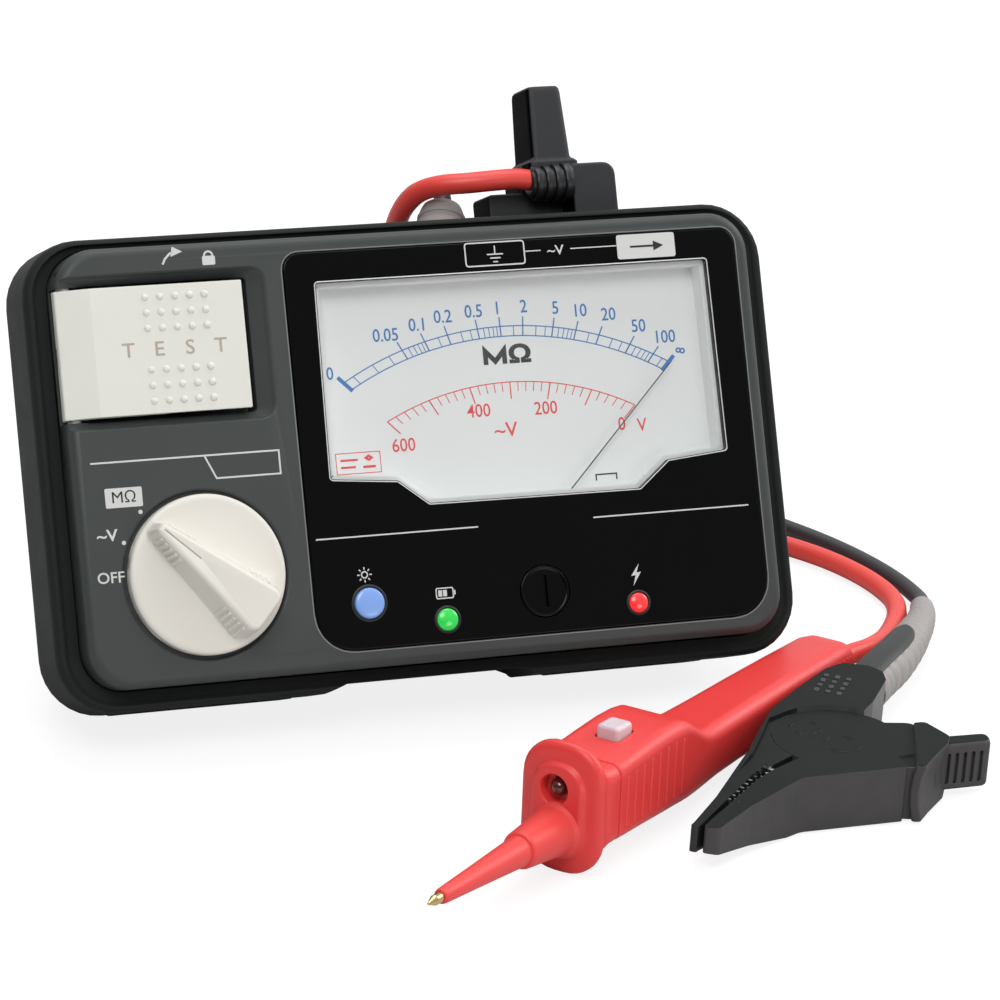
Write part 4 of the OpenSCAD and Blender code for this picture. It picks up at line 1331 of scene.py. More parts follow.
@dataclass
class CoilTies:
    """Two hook-and-loop ties round the stored coils."""

    middle: Flat = (45.0, 84.0)
    angles: tuple[float, ...] = (78.0, 305.0)
    inner: float = 14.4
    outer: float = 31.3
    top: float = 16.6
    wide: float = 9.0

    def build(self, bench: Bench) -> None:
        """Wraps a band round the coils at each angle.

        Args:
            bench: Where they are placed.
        """
        bands = []
        for angle in self.angles:
            half = self.wide / 2
            outline = rounded(box_outline(self.inner, 0.15, self.outer, self.top), 2.6, 4)
            inside = shrunk(outline, 0.8)
            rings = []
            for side, edge in ((-half, outline), (-half, inside), (half, inside), (half, outline)):
                rings.append([Vector((x, side, z)) for x, z in edge])
            form = Form().loft(rings, looped=True)
            turn = Matrix.Translation((*self.middle, 0)) @ Matrix.Rotation(math.radians(angle), 4, "Z")
            form.points = [turn @ p for p in form.points]
            bands.append(eased(form.mesh("band"), 0.25))
        bench.fit(joined("coil_ties", bands), TABLE_PLACE, Look.TIE, "tester")


# ---------------------------------------------------------------- case


WINDOW = (
    (62.4, 33.1), (62.8, -5.4), (50.1, -6.55), (43.5, -11.8),
    (-0.95, -11.5), (-7.1, -6.6), (-20.8, -5.4), (-20.2, 33.1),
)
PANEL_BOX = (-26.6, -39.1, 69.0, 39.3)
KNOB_AT = (-47.8, -21.9)
LIGHT_AT = (-15.4, -30.1)
BATTERY_LED_AT = (0.4, -34.6)
HAZARD_LED_AT = (40.8, -34.6)
ADJUSTER_AT = (21.2, -30.7)


def upright(at: Flat) -> Matrix:
    """Gives the matrix that stands a turned shape on a point of the plane."""
    return Matrix.Translation((*at, 0))


def pin(at: Flat, radius: float, z0: float, z1: float, around: int = 40) -> Form:
    """Gives a plain upright cylinder, mostly as a cutter."""
    return Form().turned([(radius, z0), (radius, z1)], upright(at), around)


@dataclass
class Shell:
    """Protector, front case, rear case and what stands behind them."""

    width: float = 154.6
    height: float = 92.0
    low: float = -0.85
    corner: float = 11.5
    face: tuple[float, float, float] = (144.4, 85.2, 8.0)
    recess: tuple[float, float, float, float] = (-73.5, 7.5, -30.5, 37.2)
    recess_well: tuple[float, float, float, float] = (-67.7, 9.1, -33.7, 35.4)
    recess_floor: float = -8.4
    knob_seat: float = 16.4

    def ring(self, inset: float, z: float) -> list[Vector]:
        """Gives the protector's outer outline, smaller by inset, at height z."""
        return lifted(
            soft_box(self.width - 2 * inset, self.height - 2 * inset, self.corner - 0.6 * inset, self.low), z
        )

    def protector(self) -> bpy.types.Object:
        """Makes the soft outer frame with its rounded front ridge."""
        ledge = [Vector((x, y)) for x, y in soft_box(151, 89.5, 10, -0.75)]
        seat = [Vector((x, y)) for x, y in soft_box(144.9, 85.6, 8.3, 0)]

        def inner(share: float, z: float, out: float = 0) -> list[Vector]:
            """Gives the ridge's inner side at a share of the way from ledge to seat."""
            rim = [a.lerp(b, share) for a, b in zip(ledge, seat)]
            return [Vector((p.x * (1 + out / 75), p.y * (1 + out / 44), z)) for p in rim]

        rings = [
            self.ring(0.5, -21.1), self.ring(0.1, -20.7), self.ring(0, -20), self.ring(0, -8),
            self.ring(0.1, -7.1), self.ring(0.36, -6.3), self.ring(0.8, -5.78), self.ring(1.2, -5.6),
            inner(0, -5.66, 0.2), inner(0.05, -5.9), inner(0.12, -6.3), inner(0.25, -6.6), inner(0.45, -6.75),
            inner(0.8, -6.85), inner(0.96, -7.0), inner(1, -7.4), inner(1, -20.9),
        ]
        frame = Form().loft(rings, looped=True).mesh("protector")
        notch = [(-24, -52), (19.7, -52), (19.7, -46.9), (18.2, -45.1), (-19, -45.1), (-24, -46.9)]
        frame = worked(frame, Form().slab(notch, -23, 1, 0.5, 0))
        return eased(frame, 0.35, 50)

    def front(self) -> bpy.types.Object:
        """Makes the front case with the panel's seat, the lever's recess and the knob's seat."""
        width, height, corner = self.face
        rings = [
            lifted(soft_box(width - 2 * i, height - 2 * i, corner - 0.6 * i), z)
            for i, z in (
                (0, -14.5), (0, -2.2), (0.08, -1.6), (0.32, -0.95), (0.75, -0.42), (1.3, -0.1), (1.9, 0),
            )
        ]
        case = Form().loft(rings).mesh("front_case")
        case = worked(case, Form().slab(soft_box(width - 4, height - 4, corner - 2), -15, -2.4, 0, 0))
        case = worked(case, Form().slab(box_outline(-71.4, 6.4, -29.4, 38.4), -9.6, -2.2, 0.5, 0), Cut.ALSO)
        well = [Vector(p) for p in rounded(box_outline(*self.recess_well), (0.5, 0.9, 0.9, 0.5), 5)]
        brim = [Vector(p) for p in rounded(box_outline(*self.recess), (0.5, 3.0, 3.0, 0.5), 5)]
        funnel = [
            [Vector((*a.lerp(b, share), z)) for a, b in zip(well, brim)]
            for share, z in (
                (0, self.recess_floor), (0, -2.6), (0.06, -2.3), (0.75, -0.95), (0.9, -0.45), (1, -0.16),
                (1.12, -0.02), (1.2, 0.4),
            )
        ]
        case = worked(case, Form().loft(funnel))
        case = worked(case, Form().slab(box_outline(-73, 9.2, -67, 35.4), -6.8, 1, 0.3, 0))
        opening = shrunk(box_outline(*PANEL_BOX), -0.12)
        case = worked(case, Form().slab(opening, -1.5, 1, (8.1, 8.1, 3.6, 3.6), 0))
        case = worked(case, Form().slab(box_outline(-23, -26, 65.5, 36.2), -4, 0, 1.0, 0))
        seat = [
            (0.01, -1.2), (self.knob_seat - 0.15, -1.2), (self.knob_seat, -1.05), (self.knob_seat, -0.5),
            (self.knob_seat + 0.25, -0.15), (self.knob_seat + 0.75, 0.02), (self.knob_seat + 0.9, 1), (0.01, 1),
        ]
        case = worked(case, Form().turned(seat, upright(KNOB_AT), 72))
        for at, radius in (
            (KNOB_AT, 3.1), (LIGHT_AT, 3.12), (BATTERY_LED_AT, 2.25), (HAZARD_LED_AT, 2.05), (ADJUSTER_AT, 2.3),
        ):
            case = worked(case, pin(at, radius, -3, 1))
        return eased(case, 0.15, 50)

    def rear(self, bench: Bench) -> bpy.types.Object:
        """Takes the rear case from its solid and softens its edges."""
        return bench.from_node("rear_case", "rear_case_dressed", CASE_PLACE, 0.5, 26)

    def feet(self, bench: Bench) -> bpy.types.Object:
        """Takes the feet from their solid and softens their edges."""
        return bench.from_node("rubber_feet", "feet_dressed", CASE_PLACE, 0.5, 20)

    def build(self, bench: Bench) -> None:
        """Makes the shell's pieces.

        Args:
            bench: Where they are placed.
        """
        bench.on_case(self.protector(), Look.PROTECTOR, "protector", "protector")
        bench.on_case(self.front(), Look.FACE, "front_case", "front_case")
        bench.on_case(self.rear(bench), Look.REAR, "rear_case", "rear_case")
        bench.on_case(self.feet(bench), Look.FEET, "foot_rubber", "rubber_feet")


# ---------------------------------------------------------------- meter


@dataclass
class Meter:
    """Black panel, window, dial, needle and panel lamps."""

    top: float = 0.15
    dial_z: float = -5.8
    pivot: Flat = (20.2, -21.0)
    needle: float = 48.7
    rest: float = 45.0
    arc_centre: Flat = (19.9, -46.6)

    def panel(self) -> bpy.types.Object:
        """Makes the glossy panel with its window."""
        plate = Form().slab(box_outline(*PANEL_BOX), -1.5, self.top, (8, 8, 3.5, 3.5), 0.35, steps=8)
        panel = plate.mesh("front_panel_dressed")
        panel = worked(panel, Form().slab(WINDOW, -3, 1, 0.5, 0))
        for at, radius in ((LIGHT_AT, 3.3), (BATTERY_LED_AT, 2.3), (HAZARD_LED_AT, 2.1), (ADJUSTER_AT, 5.3)):
            panel = worked(panel, pin(at, radius, -3, 1, 48))
        return eased(panel, 0.1, 50)

    @staticmethod
    def window_frame(name: str, levels: Sequence[Flat]) -> bpy.types.Object:
        """Makes a closed band that follows the window's outline.

        Args:
            name: The piece's name.
            levels: The band's section as (inset, height) points.

        Returns:
            The band.
        """
        outline = rounded(WINDOW, 0.5, 3)
        rings = [lifted(shrunk(outline, inset), z) for inset, z in levels]
        return eased(Form().loft(rings, looped=True).mesh(name), 0)

    def lip(self) -> bpy.types.Object:
        """Makes the bright bevelled edge of the window; its pale finish is painted highlight on the lens's clear
        border.
        """
        levels = ((0.05, -1.4), (0.05, 0.12), (0.3, 0.2), (1.0, -0.35), (1.1, -1.4))
        return self.window_frame("window_lip", levels)

    def lens(self) -> bpy.types.Object:
        """Makes the clear window."""
        plate = Form().slab(shrunk(WINDOW, 0.9), -1.3, -0.5, 0.4, 0.05)
        return eased(plate.mesh("lens_dressed"), 0)

    def well(self) -> bpy.types.Object:
        """Makes the pale walls between the window and the dial; their finish glows a little, painted light that
        lifts their shade.
        """
        levels = ((-0.9, -1.55), (0.5, -1.55), (0.3, -3.2), (-0.1, -5.75), (-0.9, -5.75))
        return self.window_frame("window_well", levels)

    def dial(self) -> bpy.types.Object:
        """Makes the dial card."""
        card = Form().slab(box_outline(-22.8, -12.8, 65.2, 35.8), -6.6, self.dial_z, 0.5, 0.1)
        return eased(card.mesh("dial_card"), 0)

    def on_arc(self, angle: float, radius: float) -> Flat:
        """Finds the point of an arc that the needle covers at an angle.

        Args:
            angle: Needle angle right of upright, in degrees.
            radius: The arc's radius.

        Returns:
            The point, in the case's axes.
        """
        way = Vector((math.sin(math.radians(angle)), math.cos(math.radians(angle))))
        start = Vector(self.pivot) - Vector(self.arc_centre)
        along = start.dot(way)
        reach = -along + math.sqrt(along * along - start.dot(start) + radius * radius)
        point = Vector(self.pivot) + way * reach
        return (point.x, point.y)

    def insulation_angle(self, value: float) -> float:
        """Gives the needle angle for a value of the resistance scale."""
        return -1.2 + 21 * math.log10(value)

    def arc(self, printer: Printer, radius: float, first: float, last: float, width: float) -> None:
        """Prints a scale's arc between two needle angles.

        Args:
            printer: Prints it.
            radius: The arc's radius.
            first: First needle angle.
            last: Last needle angle.
            width: Line width.
        """
        steps = 60
        points = [self.on_arc(first + (last - first) * i / steps, radius) for i in range(steps + 1)]
        printer.stroke(points, width)

    def tick(self, printer: Printer, angle: float, inner: float, outer: float, width: float) -> None:
        """Prints a tick at a needle angle, from a scale's inner to its outer radius."""
        printer.stroke([self.on_arc(angle, inner), self.on_arc(angle, outer)], width)

    def blue_scale(self) -> bpy.types.Object:
        """Prints the resistance scale."""
        ink = Printer(self.dial_z, Look.INK_BLUE)
        inner, outer = 67.4, 69.4
        for radius in (inner, outer):
            self.arc(ink, radius, -45, 45, 0.22)
        for first, last, step in (
            (0.06, 0.1, 0.01), (0.15, 0.2, 0.05), (0.3, 0.5, 0.1), (0.6, 1, 0.1), (1.5, 2, 0.5), (3, 5, 1),
            (6, 10, 1), (15, 20, 5), (30, 50, 10), (60, 100, 10),
        ):
            value = first
            while value < last * 1.001:
                self.tick(ink, self.insulation_angle(value), inner, outer, 0.17)
                value += step
        for value, aside, rise in (
            (0.05, -1.45, 3.5), (0.1, 0.2, 3.6), (0.2, 0.4, 3.75), (0.5, 0, 3.5), (1, -0.2, 3.6),
            (2, 0.2, 3.75), (5, 0, 3.8), (10, -0.2, 4.0), (20, 0.5, 4.35), (50, -0.2, 4.2), (100, 0, 4.15),
        ):
            angle = self.insulation_angle(value)
            self.tick(ink, angle, inner, outer + 1.9, 0.26)
            x, y = self.on_arc(angle, outer + rise)
            ink.word(f"{value:g}", (x + aside, y), 2.55, 0.03, 0, 0.88)
        for angle in (-45, 45):
            self.tick(ink, angle, inner - 0.3, outer + 1.6, 0.8)
        for angle in (-42.3, -36.9, -32.3, 43.2):
            self.tick(ink, angle, inner, outer, 0.17)
        end = self.on_arc(45.6, outer + 3.2)
        ink.word("8", end, 2.0, 0.04, 80, 0.9)
        ink.word("0", self.on_arc(-45.6, outer + 3.0), 2.5, 0.03, 0, 0.88)
        return ink.print_out("scale_blue")

    def red_scale(self) -> bpy.types.Object:
        """Prints the voltage scale."""
        ink = Printer(self.dial_z, Look.INK_RED)
        radius = 58.2
        self.arc(ink, radius, -45, 45, 0.2)
        for volts in range(0, 601, 20):
            long = volts % 100 == 0
            self.tick(ink, 45 - 0.15 * volts, radius - (3.4 if long else 1.9), radius, 0.24 if long else 0.17)
        for text, at in (
            ("600", (-3.3, 0.5)), ("400", (13.1, 6.2)), ("200", (27.3, 5.8)), ("0", (43.2, 1.5)),
            ("V", (47.5, 1.0)),
        ):
            ink.word(text, at, 2.6, 0.02, 0, 0.9)
        ink.word("~V", (18.4, 2.0), 2.9, 0.03, 0, 1.0)
        ink.stroke(box_outline(-17.6, -4.3, -8.4, -0.2), 0.16, looped=True)
        for rise, reach in ((-1.6, 3.6), (-3.0, 3.1)):
            ink.stroke([(-16.7, rise), (-16.7 + reach, rise)], 0.42)
        ink.stroke([(-11.4, -1.35), (-10.8, -0.95), (-10.2, -1.35), (-10.8, -1.75)], 0.5, looped=True)
        ink.stroke([(-12.1, -3.1), (-9.5, -3.1)], 0.5)
        return ink.print_out("scale_red")

    def dark_prints(self) -> bpy.types.Object:
        """Prints the dial's black words and marks."""
        ink = Printer(self.dial_z, Look.INK_DARK)
        ink.stroke([(15.6, 15.3), (15.6, 18.05), (17.6, 15.9), (19.6, 18.05), (19.6, 15.3)], 1.0)
        ink.word("Ω", (22.9, 16.9), 3.3, 0.2, 0, 1.35)
        ink.stroke([(36.6, -9.4), (36.6, -8.2), (41, -8.2), (41, -9.4)], 0.3)
        return ink.print_out("dial_black")

    def pointer(self) -> bpy.types.Object:
        """Makes the needle with its hub and balance weight."""
        turn = Matrix.Translation((*self.pivot, 0)) @ Matrix.Rotation(math.radians(-self.rest), 4, "Z")
        tip = self.needle
        outline = [(-0.5, -6), (0.5, -6), (0.5, 1), (0.13, 7), (0.1, tip), (-0.1, tip), (-0.13, 7), (-0.5, 1)]
        form = Form().slab(outline, -4.3, -4.1, 0.03, 0.04, place=turn)
        form.turned([(0.01, -6.6), (1.8, -6.6), (1.8, -4.1), (1.5, -3.9), (0.01, -3.9)], turn, 28)
        form.turned([(0.01, -4.8), (1.2, -4.8), (1.2, -3.8), (0.9, -3.6), (0.01, -3.6)],
                    turn @ Matrix.Translation((0, -5.4, 0)), 24)
        return eased(form.mesh("needle"), 0)

    def panel_prints(self) -> bpy.types.Object:
        """Prints the panel's pale words and marks."""
        ink = Printer(self.top, Look.INK_LIGHT)
        for x0, x1 in ((-25.1, 8.5), (32.9, 66.4)):
            ink.stroke([(x0, -16.95), (x1, -16.95)], 0.28)
        ink.stroke(rounded(box_outline(11.35, 34.5, 23.8, 39.1), 0.5, 2), 0.28, True)
        x, y = 17.6, 36.9
        for half, drop in ((1.7, 0), (1.1, -0.75), (0.5, -1.5)):
            ink.stroke([(x - half, y + drop - 0.2), (x + half, y + drop - 0.2)], 0.26)
        ink.stroke([(x, y - 0.2), (x, y + 1.5)], 0.26)
        ink.stroke([(24, 36.9), (27.3, 36.9)], 0.22)
        ink.word("~V", (30.4, 36.7), 1.9, 0.03, 0, 1.1)
        ink.stroke([(33.6, 36.9), (43.5, 36.9)], 0.22)
        bolt = [(41.6, -26.8), (39.7, -29.2), (40.7, -29.1), (40.0, -31.2), (41.9, -28.5), (40.9, -28.6)]
        ink.patch(list(reversed(bolt)))
        x, y = -15.9, -24.5
        ink.ring((x, y), 0.62, 0.26)
        for start, end in zip(circle(1.0, 8, (x, y)), circle(1.5, 8, (x, y))):
            ink.stroke([start, end], 0.24)
        x, y = 0.4, -29.4
        ink.stroke(rounded(box_outline(x - 1.9, y - 1, x + 1.6, y + 1), 0.2, 1), 0.24, True)
        ink.patch(box_outline(x + 1.6, y - 0.45, x + 2.1, y + 0.45))
        ink.patch(box_outline(x - 1.5, y - 0.62, x - 0.7, y + 0.62))
        ink.patch(box_outline(x - 0.5, y - 0.62, x + 0.3, y + 0.62))
        return ink.print_out("panel_words")

    def line_plate(self) -> list[bpy.types.Object]:
        """Prints the pale plate over the line terminal with its dark mark."""
        pale, dark = Printer(self.top, Look.INK_LIGHT), Printer(self.top + 0.03, Look.INK_DARK)
        pale.patch(rounded(box_outline(43.6, 34.1, 56.1, 39.0), 0.5, 3))
        dark.stroke([(46.4, 36.5), (51.6, 36.5)], 0.4)
        dark.patch([(51.4, 35.5), (53.6, 36.5), (51.4, 37.5)])
        return [pale.print_out("line_plate"), dark.print_out("line_mark")]

    def adjuster(self) -> bpy.types.Object:
        """Makes the zero adjuster's slotted cap."""
        place = upright(ADJUSTER_AT)
        profile = [
            (0.01, -1.4), (5.15, -1.4), (5.15, 0.0), (5.0, 0.16), (4.75, 0.2), (4.6, 0.08), (4.3, 0.02),
            (0.01, 0.0),
        ]
        form = Form().turned(profile, place, 64)
        slot = Form().slab(box_outline(-0.55, -3.2, 0.55, 3.2), -0.6, 1, 0.1, 0, place=place)
        return eased(worked(form.mesh("zero_cap"), slot), 0.08, 50)

    def light_button(self) -> bpy.types.Object:
        """Makes the blue light button."""
        profile = [
            (0.01, -3.5), (3.9, -3.5), (3.9, -2.6), (3.02, -2.6), (3.02, 0.35), (2.95, 0.6), (2.75, 0.78),
            (2.2, 0.9), (1.2, 0.96), (0.01, 0.98),
        ]
        return eased(Form().turned(profile, upright(LIGHT_AT), 48).mesh("light_button_dressed"), 0)

    def lamp(self, name: str, at: Flat, radius: float) -> bpy.types.Object:
        """Makes a domed panel lamp.

        Args:
            name: The piece's name.
            at: Its middle on the panel.
            radius: Its radius.

        Returns:
            The lamp.
        """
        dome = [(radius * math.cos(a), 0.1 + 0.75 * math.sin(a)) for a in (0.0, 0.25, 0.5, 0.8, 1.1, 1.35)]
        profile = [(0.01, -7.2), (radius, -7.2), *dome, (0.01, 0.86)]
        return eased(Form().turned(profile, upright(at), 40).mesh(name), 0)

    def button_ring(self) -> bpy.types.Object:
        """Makes the dark collars round the button and the lamps."""
        form = Form()
        for at, radius in ((LIGHT_AT, 3.18), (BATTERY_LED_AT, 2.25), (HAZARD_LED_AT, 2.05)):
            outer = radius + 0.55
            profile = [(radius, -1.4), (radius, 0.2), (radius + 0.2, 0.34), (outer - 0.2, 0.3), (outer, 0.12),
                       (outer, -1.4)]
            form.turned(profile, upright(at), 48, looped=True)
        return eased(form.mesh("panel_collars"), 0)

    def build(self, bench: Bench) -> None:
        """Makes the meter's pieces.

        Args:
            bench: Where they are placed.
        """
        bench.on_case(self.panel(), Look.PANEL, "panel", "front_panel")
        bench.on_case(self.lip(), Look.LIP, "panel")
        bench.on_case(self.lens(), Look.LENS, "lens", "window_lens")
        bench.on_case(self.well(), Look.WELL, "panel")
        bench.on_case(self.dial(), Look.DIAL, "scale", "scale_plate")
        for sheet in (self.blue_scale(), self.red_scale(), self.dark_prints()):
            bench.on_case(sheet, None, "scale")
        # Painted highlight: a thin pale line along the case's lip round the panel.
        rim = Printer(0.0, Look.PANEL_HIGHLIGHT)
        rim.stroke(rounded(shrunk(box_outline(*PANEL_BOX), -0.3), (8.4, 8.4, 3.8, 3.8), 10), 0.2, True)
        for sheet in (self.panel_prints(), *self.line_plate(), rim.print_out("panel_edge")):
            bench.on_case(sheet, None, "panel")
        bench.on_case(self.pointer(), Look.NEEDLE, "pointer", "pointer", body="pointer")
        bench.on_case(self.adjuster(), Look.PANEL, "panel", "zero_adjuster", body="zero_adjuster")
        bench.on_case(self.light_button(), Look.BLUE, "blue_button", "light_button", body="light_button")
        for name, at, radius, finish, slot, node in (
            ("lamp_green", BATTERY_LED_AT, 2.2, Look.GREEN, "green_led", "battery_led"),
            ("lamp_red", HAZARD_LED_AT, 2.0, Look.RED, "red_led", "hazard_led"),
        ):
            bench.on_case(self.lamp(name, at, radius), finish, slot, node)
        bench.on_case(self.button_ring(), Look.HOUSING, "panel")


# ---------------------------------------------------------------- controls


@dataclass
class Knob:
    """Cream function knob: a disc with a tapered grip."""

    angle: float = 137.5
    disc: float = 15.6
    top: float = 8.0
    foot: tuple[Flat, ...] = ((14.6, -1.5), (14.6, 1.5), (-11, 7), (-13.8, 4.8), (-13.8, -4.8), (-11, -7))
    crest: tuple[Flat, ...] = ((14.2, -1.0), (14.2, 1.0), (-12, 4.7), (-13.3, 3.7), (-13.3, -3.7), (-12, -4.7))

    def grip(self, place: Matrix) -> Form:
        """Lofts the grip from its wide foot to its narrow crest.

        Args:
            place: Turns the grip to the knob's direction.

        Returns:
            The grip.
        """
        corners = (0.9, 0.9, 2.2, 1.6, 1.6, 2.2)
        low = rounded(self.foot, corners, 5)
        high = rounded(self.crest, (0.8, 0.8, 1.8, 1.4, 1.4, 1.8), 5)
        rings = []
        for share, z, inset in (
            (0, 0.9, -0.5), (0.02, 1.7, -0.5), (0.06, 2.15, -0.15), (0.14, 2.8, 0), (0.5, 4.9, -0.06),
            (0.84, 6.9, -0.02), (0.95, 7.55, 0.08), (1, 7.85, 0.3), (1, 8.0, 0.75),
        ):
            ring = [Vector(a).lerp(Vector(b), share) for a, b in zip(low, high)]
            flat = shrunk([(p.x, p.y) for p in ring], inset) if inset else [(p.x, p.y) for p in ring]
            rings.append([place @ p for p in lifted(flat, z)])
        return Form().loft(rings)

    def serrations(self, bench: Bench, place: Matrix) -> bpy.types.Object:
        """Sets small ribs on the grip's sides near both ends.

        Args:
            bench: Holds the repeater.
            place: Turns them with the grip.

        Returns:
            The ribs.
        """
        spots = []
        for side in (-1, 1):
            for x in (12.3, 11.0, 9.7, 8.4, 7.1, -5.6, -6.9, -8.2, -9.5, -10.8):
                share = (14.6 - x) / 25.6
                low = 1.5 + 5.5 * share
                high = 1.0 + 3.7 * (14.2 - x) / 26.2
                y, z = (low + high) / 2 + 0.02, 4.6
                point = place @ Vector((x, side * y, z))
                tilt = math.atan2(low - high, 6.2)
                spots.append(Spot(tuple(point), (side * tilt, 0.0, math.radians(self.angle))))
        outline = rounded(box_outline(-0.33, -0.42, 0.33, 0.42), 0.25, 2)
        rib = Form().slab(outline, -2.3, 2.3, 0.0, 0.35, 0.35, steps=1)
        return bench.repeater.set_out("knob_ribs", spots, rib, Look.KNOB)

    def build(self, bench: Bench) -> None:
        """Makes the knob.

        Args:
            bench: Where it is placed.
        """
        flat = upright(KNOB_AT)
        place = flat @ Matrix.Rotation(math.radians(self.angle), 4, "Z")
        edge = ((0, -1.0), (0, 1.15), (0.1, 1.5), (0.38, 1.8), (0.8, 1.96), (1.4, 2.0))
        profile = [(0.01, -1.0), *((self.disc - inset, z) for inset, z in edge), (0.01, 2.02)]
        knob = worked(Form().turned(profile, flat, 96).mesh("knob_dressed"), self.grip(place), Cut.ALSO)
        line = box_outline(4.2, -0.17, 13.2, 0.17)
        knob = worked(knob, Form().slab(line, self.top - 0.45, self.top + 1, 0.12, 0, place=place))
        knob = eased(worked(knob, pin(KNOB_AT, 3.02, -2, 4, 32)), 0.06, 60)
        knob.data.materials.append(Look.KNOB.material())
        knob = joined("knob_dressed", [knob, self.serrations(bench, place)])
        bench.on_case(knob, None, "cream_knob", "knob", body="knob")


@dataclass
class Lever:
    """Ivory measure lever with its raised dots."""

    left: float = -72.4
    right: float = -35.6
    low: float = 9.8
    high: float = 34.8
    hinge: Flat = (-70.2, -3.6)

    def plate(self) -> bpy.types.Object:
        """Sweeps the lever's side profile and rounds it."""
        profile = [(self.left, -3.6), (-68, -5), (-66.6, -3), (self.right, -3), (self.right, -0.45),
                   (self.right + 0.5, 0.1), (-65.9, 0.45), (self.left, -1.9)]
        outline = rounded(list(profile), (0.3, 0.5, 0.3, 0.3, 0.3, 0.3, 0.8, 0.5), 4)
        rings = []
        for inset, y in ((0.3, self.low), (0.08, self.low + 0.08), (0, self.low + 0.3), (0, self.high - 0.3),
                         (0.08, self.high - 0.08), (0.3, self.high)):
            rings.append([Vector((x, y, z)) for x, z in (shrunk(outline, inset) if inset else outline)])
        plate = Form().loft(rings).mesh("measure_lever_dressed")
        x, z = self.hinge
        barrel = Matrix.Translation((x, self.low, z)) @ Matrix.Rotation(-math.pi / 2, 4, "X")
        long = self.high - self.low
        plate = worked(plate, Form().turned([(2.2, 0), (2.2, long)], barrel, 32), Cut.ALSO)
        bore = Form().turned([(1.3, -1), (1.3, long + 1)], barrel, 28)
        plate = worked(plate, bore)
        plate = worked(plate, Form().slab(box_outline(-71.9, 19.7, -66.4, 24.3), -6.5, -1.75, 0.2, 0))
        return eased(plate, 0, 45)

    def dots(self, bench: Bench) -> bpy.types.Object:
        """Sets out the raised dots."""
        dome = Form().turned(
            [(0.01, -0.3), (0.78, -0.3), (0.78, 0.05), (0.7, 0.24), (0.55, 0.4), (0.34, 0.52), (0.01, 0.57)],
            Matrix.Identity(4), 18,
        )
        spots = [
            Spot((-55 + 3 * i, y + 3.03 * j, 0.15))
            for i in range(5) for j in range(3) for y in (12.3, 26.4)
        ]
        return bench.repeater.set_out("lever_dots", spots, dome, Look.LEVER)

    def build(self, bench: Bench) -> None:
        """Makes the lever.

        Args:
            bench: Where it is placed.
        """
        plate = self.plate()
        plate.data.materials.append(Look.LEVER.material())
        mark = Printer(0.0, Look.LEVER_MARK)
        for i, letter in enumerate("TEST"):
            mark.word(letter, (-10.2 + 6.2 * i, 22.2), 2.8, 0.03, 0, 1.1)
        prints = mark.print_out("lever_word")
        prints.data.transform(Matrix.Translation((-49, 0, 0.262)) @ Matrix.Rotation(0.0114, 4, "Y"))
        plate = joined("measure_lever_dressed", [plate, self.dots(bench)])
        bench.on_case(plate, None, "ivory_lever", "measure_lever", body="measure_lever")
        bench.on_case(prints, None, "ivory_lever", body="measure_lever")


@dataclass
class FacePrints:
    """Pale words and lines on the grey face."""

    plate: tuple[float, float, float, float] = (-66.5, -7.7, -59.1, -3.9)
    words_at: float = -66.8

    def build(self, bench: Bench) -> None:
        """Prints them.

        Args:
            bench: Where they are placed.
        """
        ink = Printer(0.0, Look.INK_LIGHT)
        ink.word("~V", (self.words_at, -13.0), 2.2, 0.06, 0, 1.1)
        ink.word("OFF", (self.words_at, -21.1), 2.1, 0.03, 0, 1.05)
        for at in ((-59.75, -8.8), (-63.6, -14.5)):
            ink.dot(at, 0.42)
        ink.stroke([(-68.8, 1.1), (-30.9, 1.1), (-30.9, -3.45), (-43.9, -3.45), (-46, 1.1)], 0.34)
        ink.stroke([(-50.7, 38.6), (-50.2, 39.6), (-49.3, 40.5), (-48.6, 40.9)], 0.42)
        ink.patch([(-49.0, 40.0), (-46.6, 40.9), (-48.6, 42.0)])
        x, y = -41.4, 39.0
        ink.patch(rounded(box_outline(x - 1.3, y - 1.0, x + 1.3, y + 0.8), 0.25, 2))
        ink.ring((x, y + 0.8), 0.85, 0.38, 0, 180)
        bench.on_case(ink.print_out("face_words"), None, "front_case")
        pale, dark = Printer(0.0, Look.INK_LIGHT), Printer(0.03, Look.INK_DARK)
        pale.patch(rounded(box_outline(*self.plate), 0.25, 2))
        dark.word("MΩ", (-62.8, -5.8), 2.2, 0.0, 0, 1.05)
        for sheet in (pale.print_out("range_plate"), dark.print_out("range_word")):
            bench.on_case(sheet, None, "front_case")


# ---------------------------------------------------------------- plugs


BOOT_FOOT = Vector((16.6, 43.9, -28))
BOOT_HEAD = Vector((18.4, 50.4, -30.6))


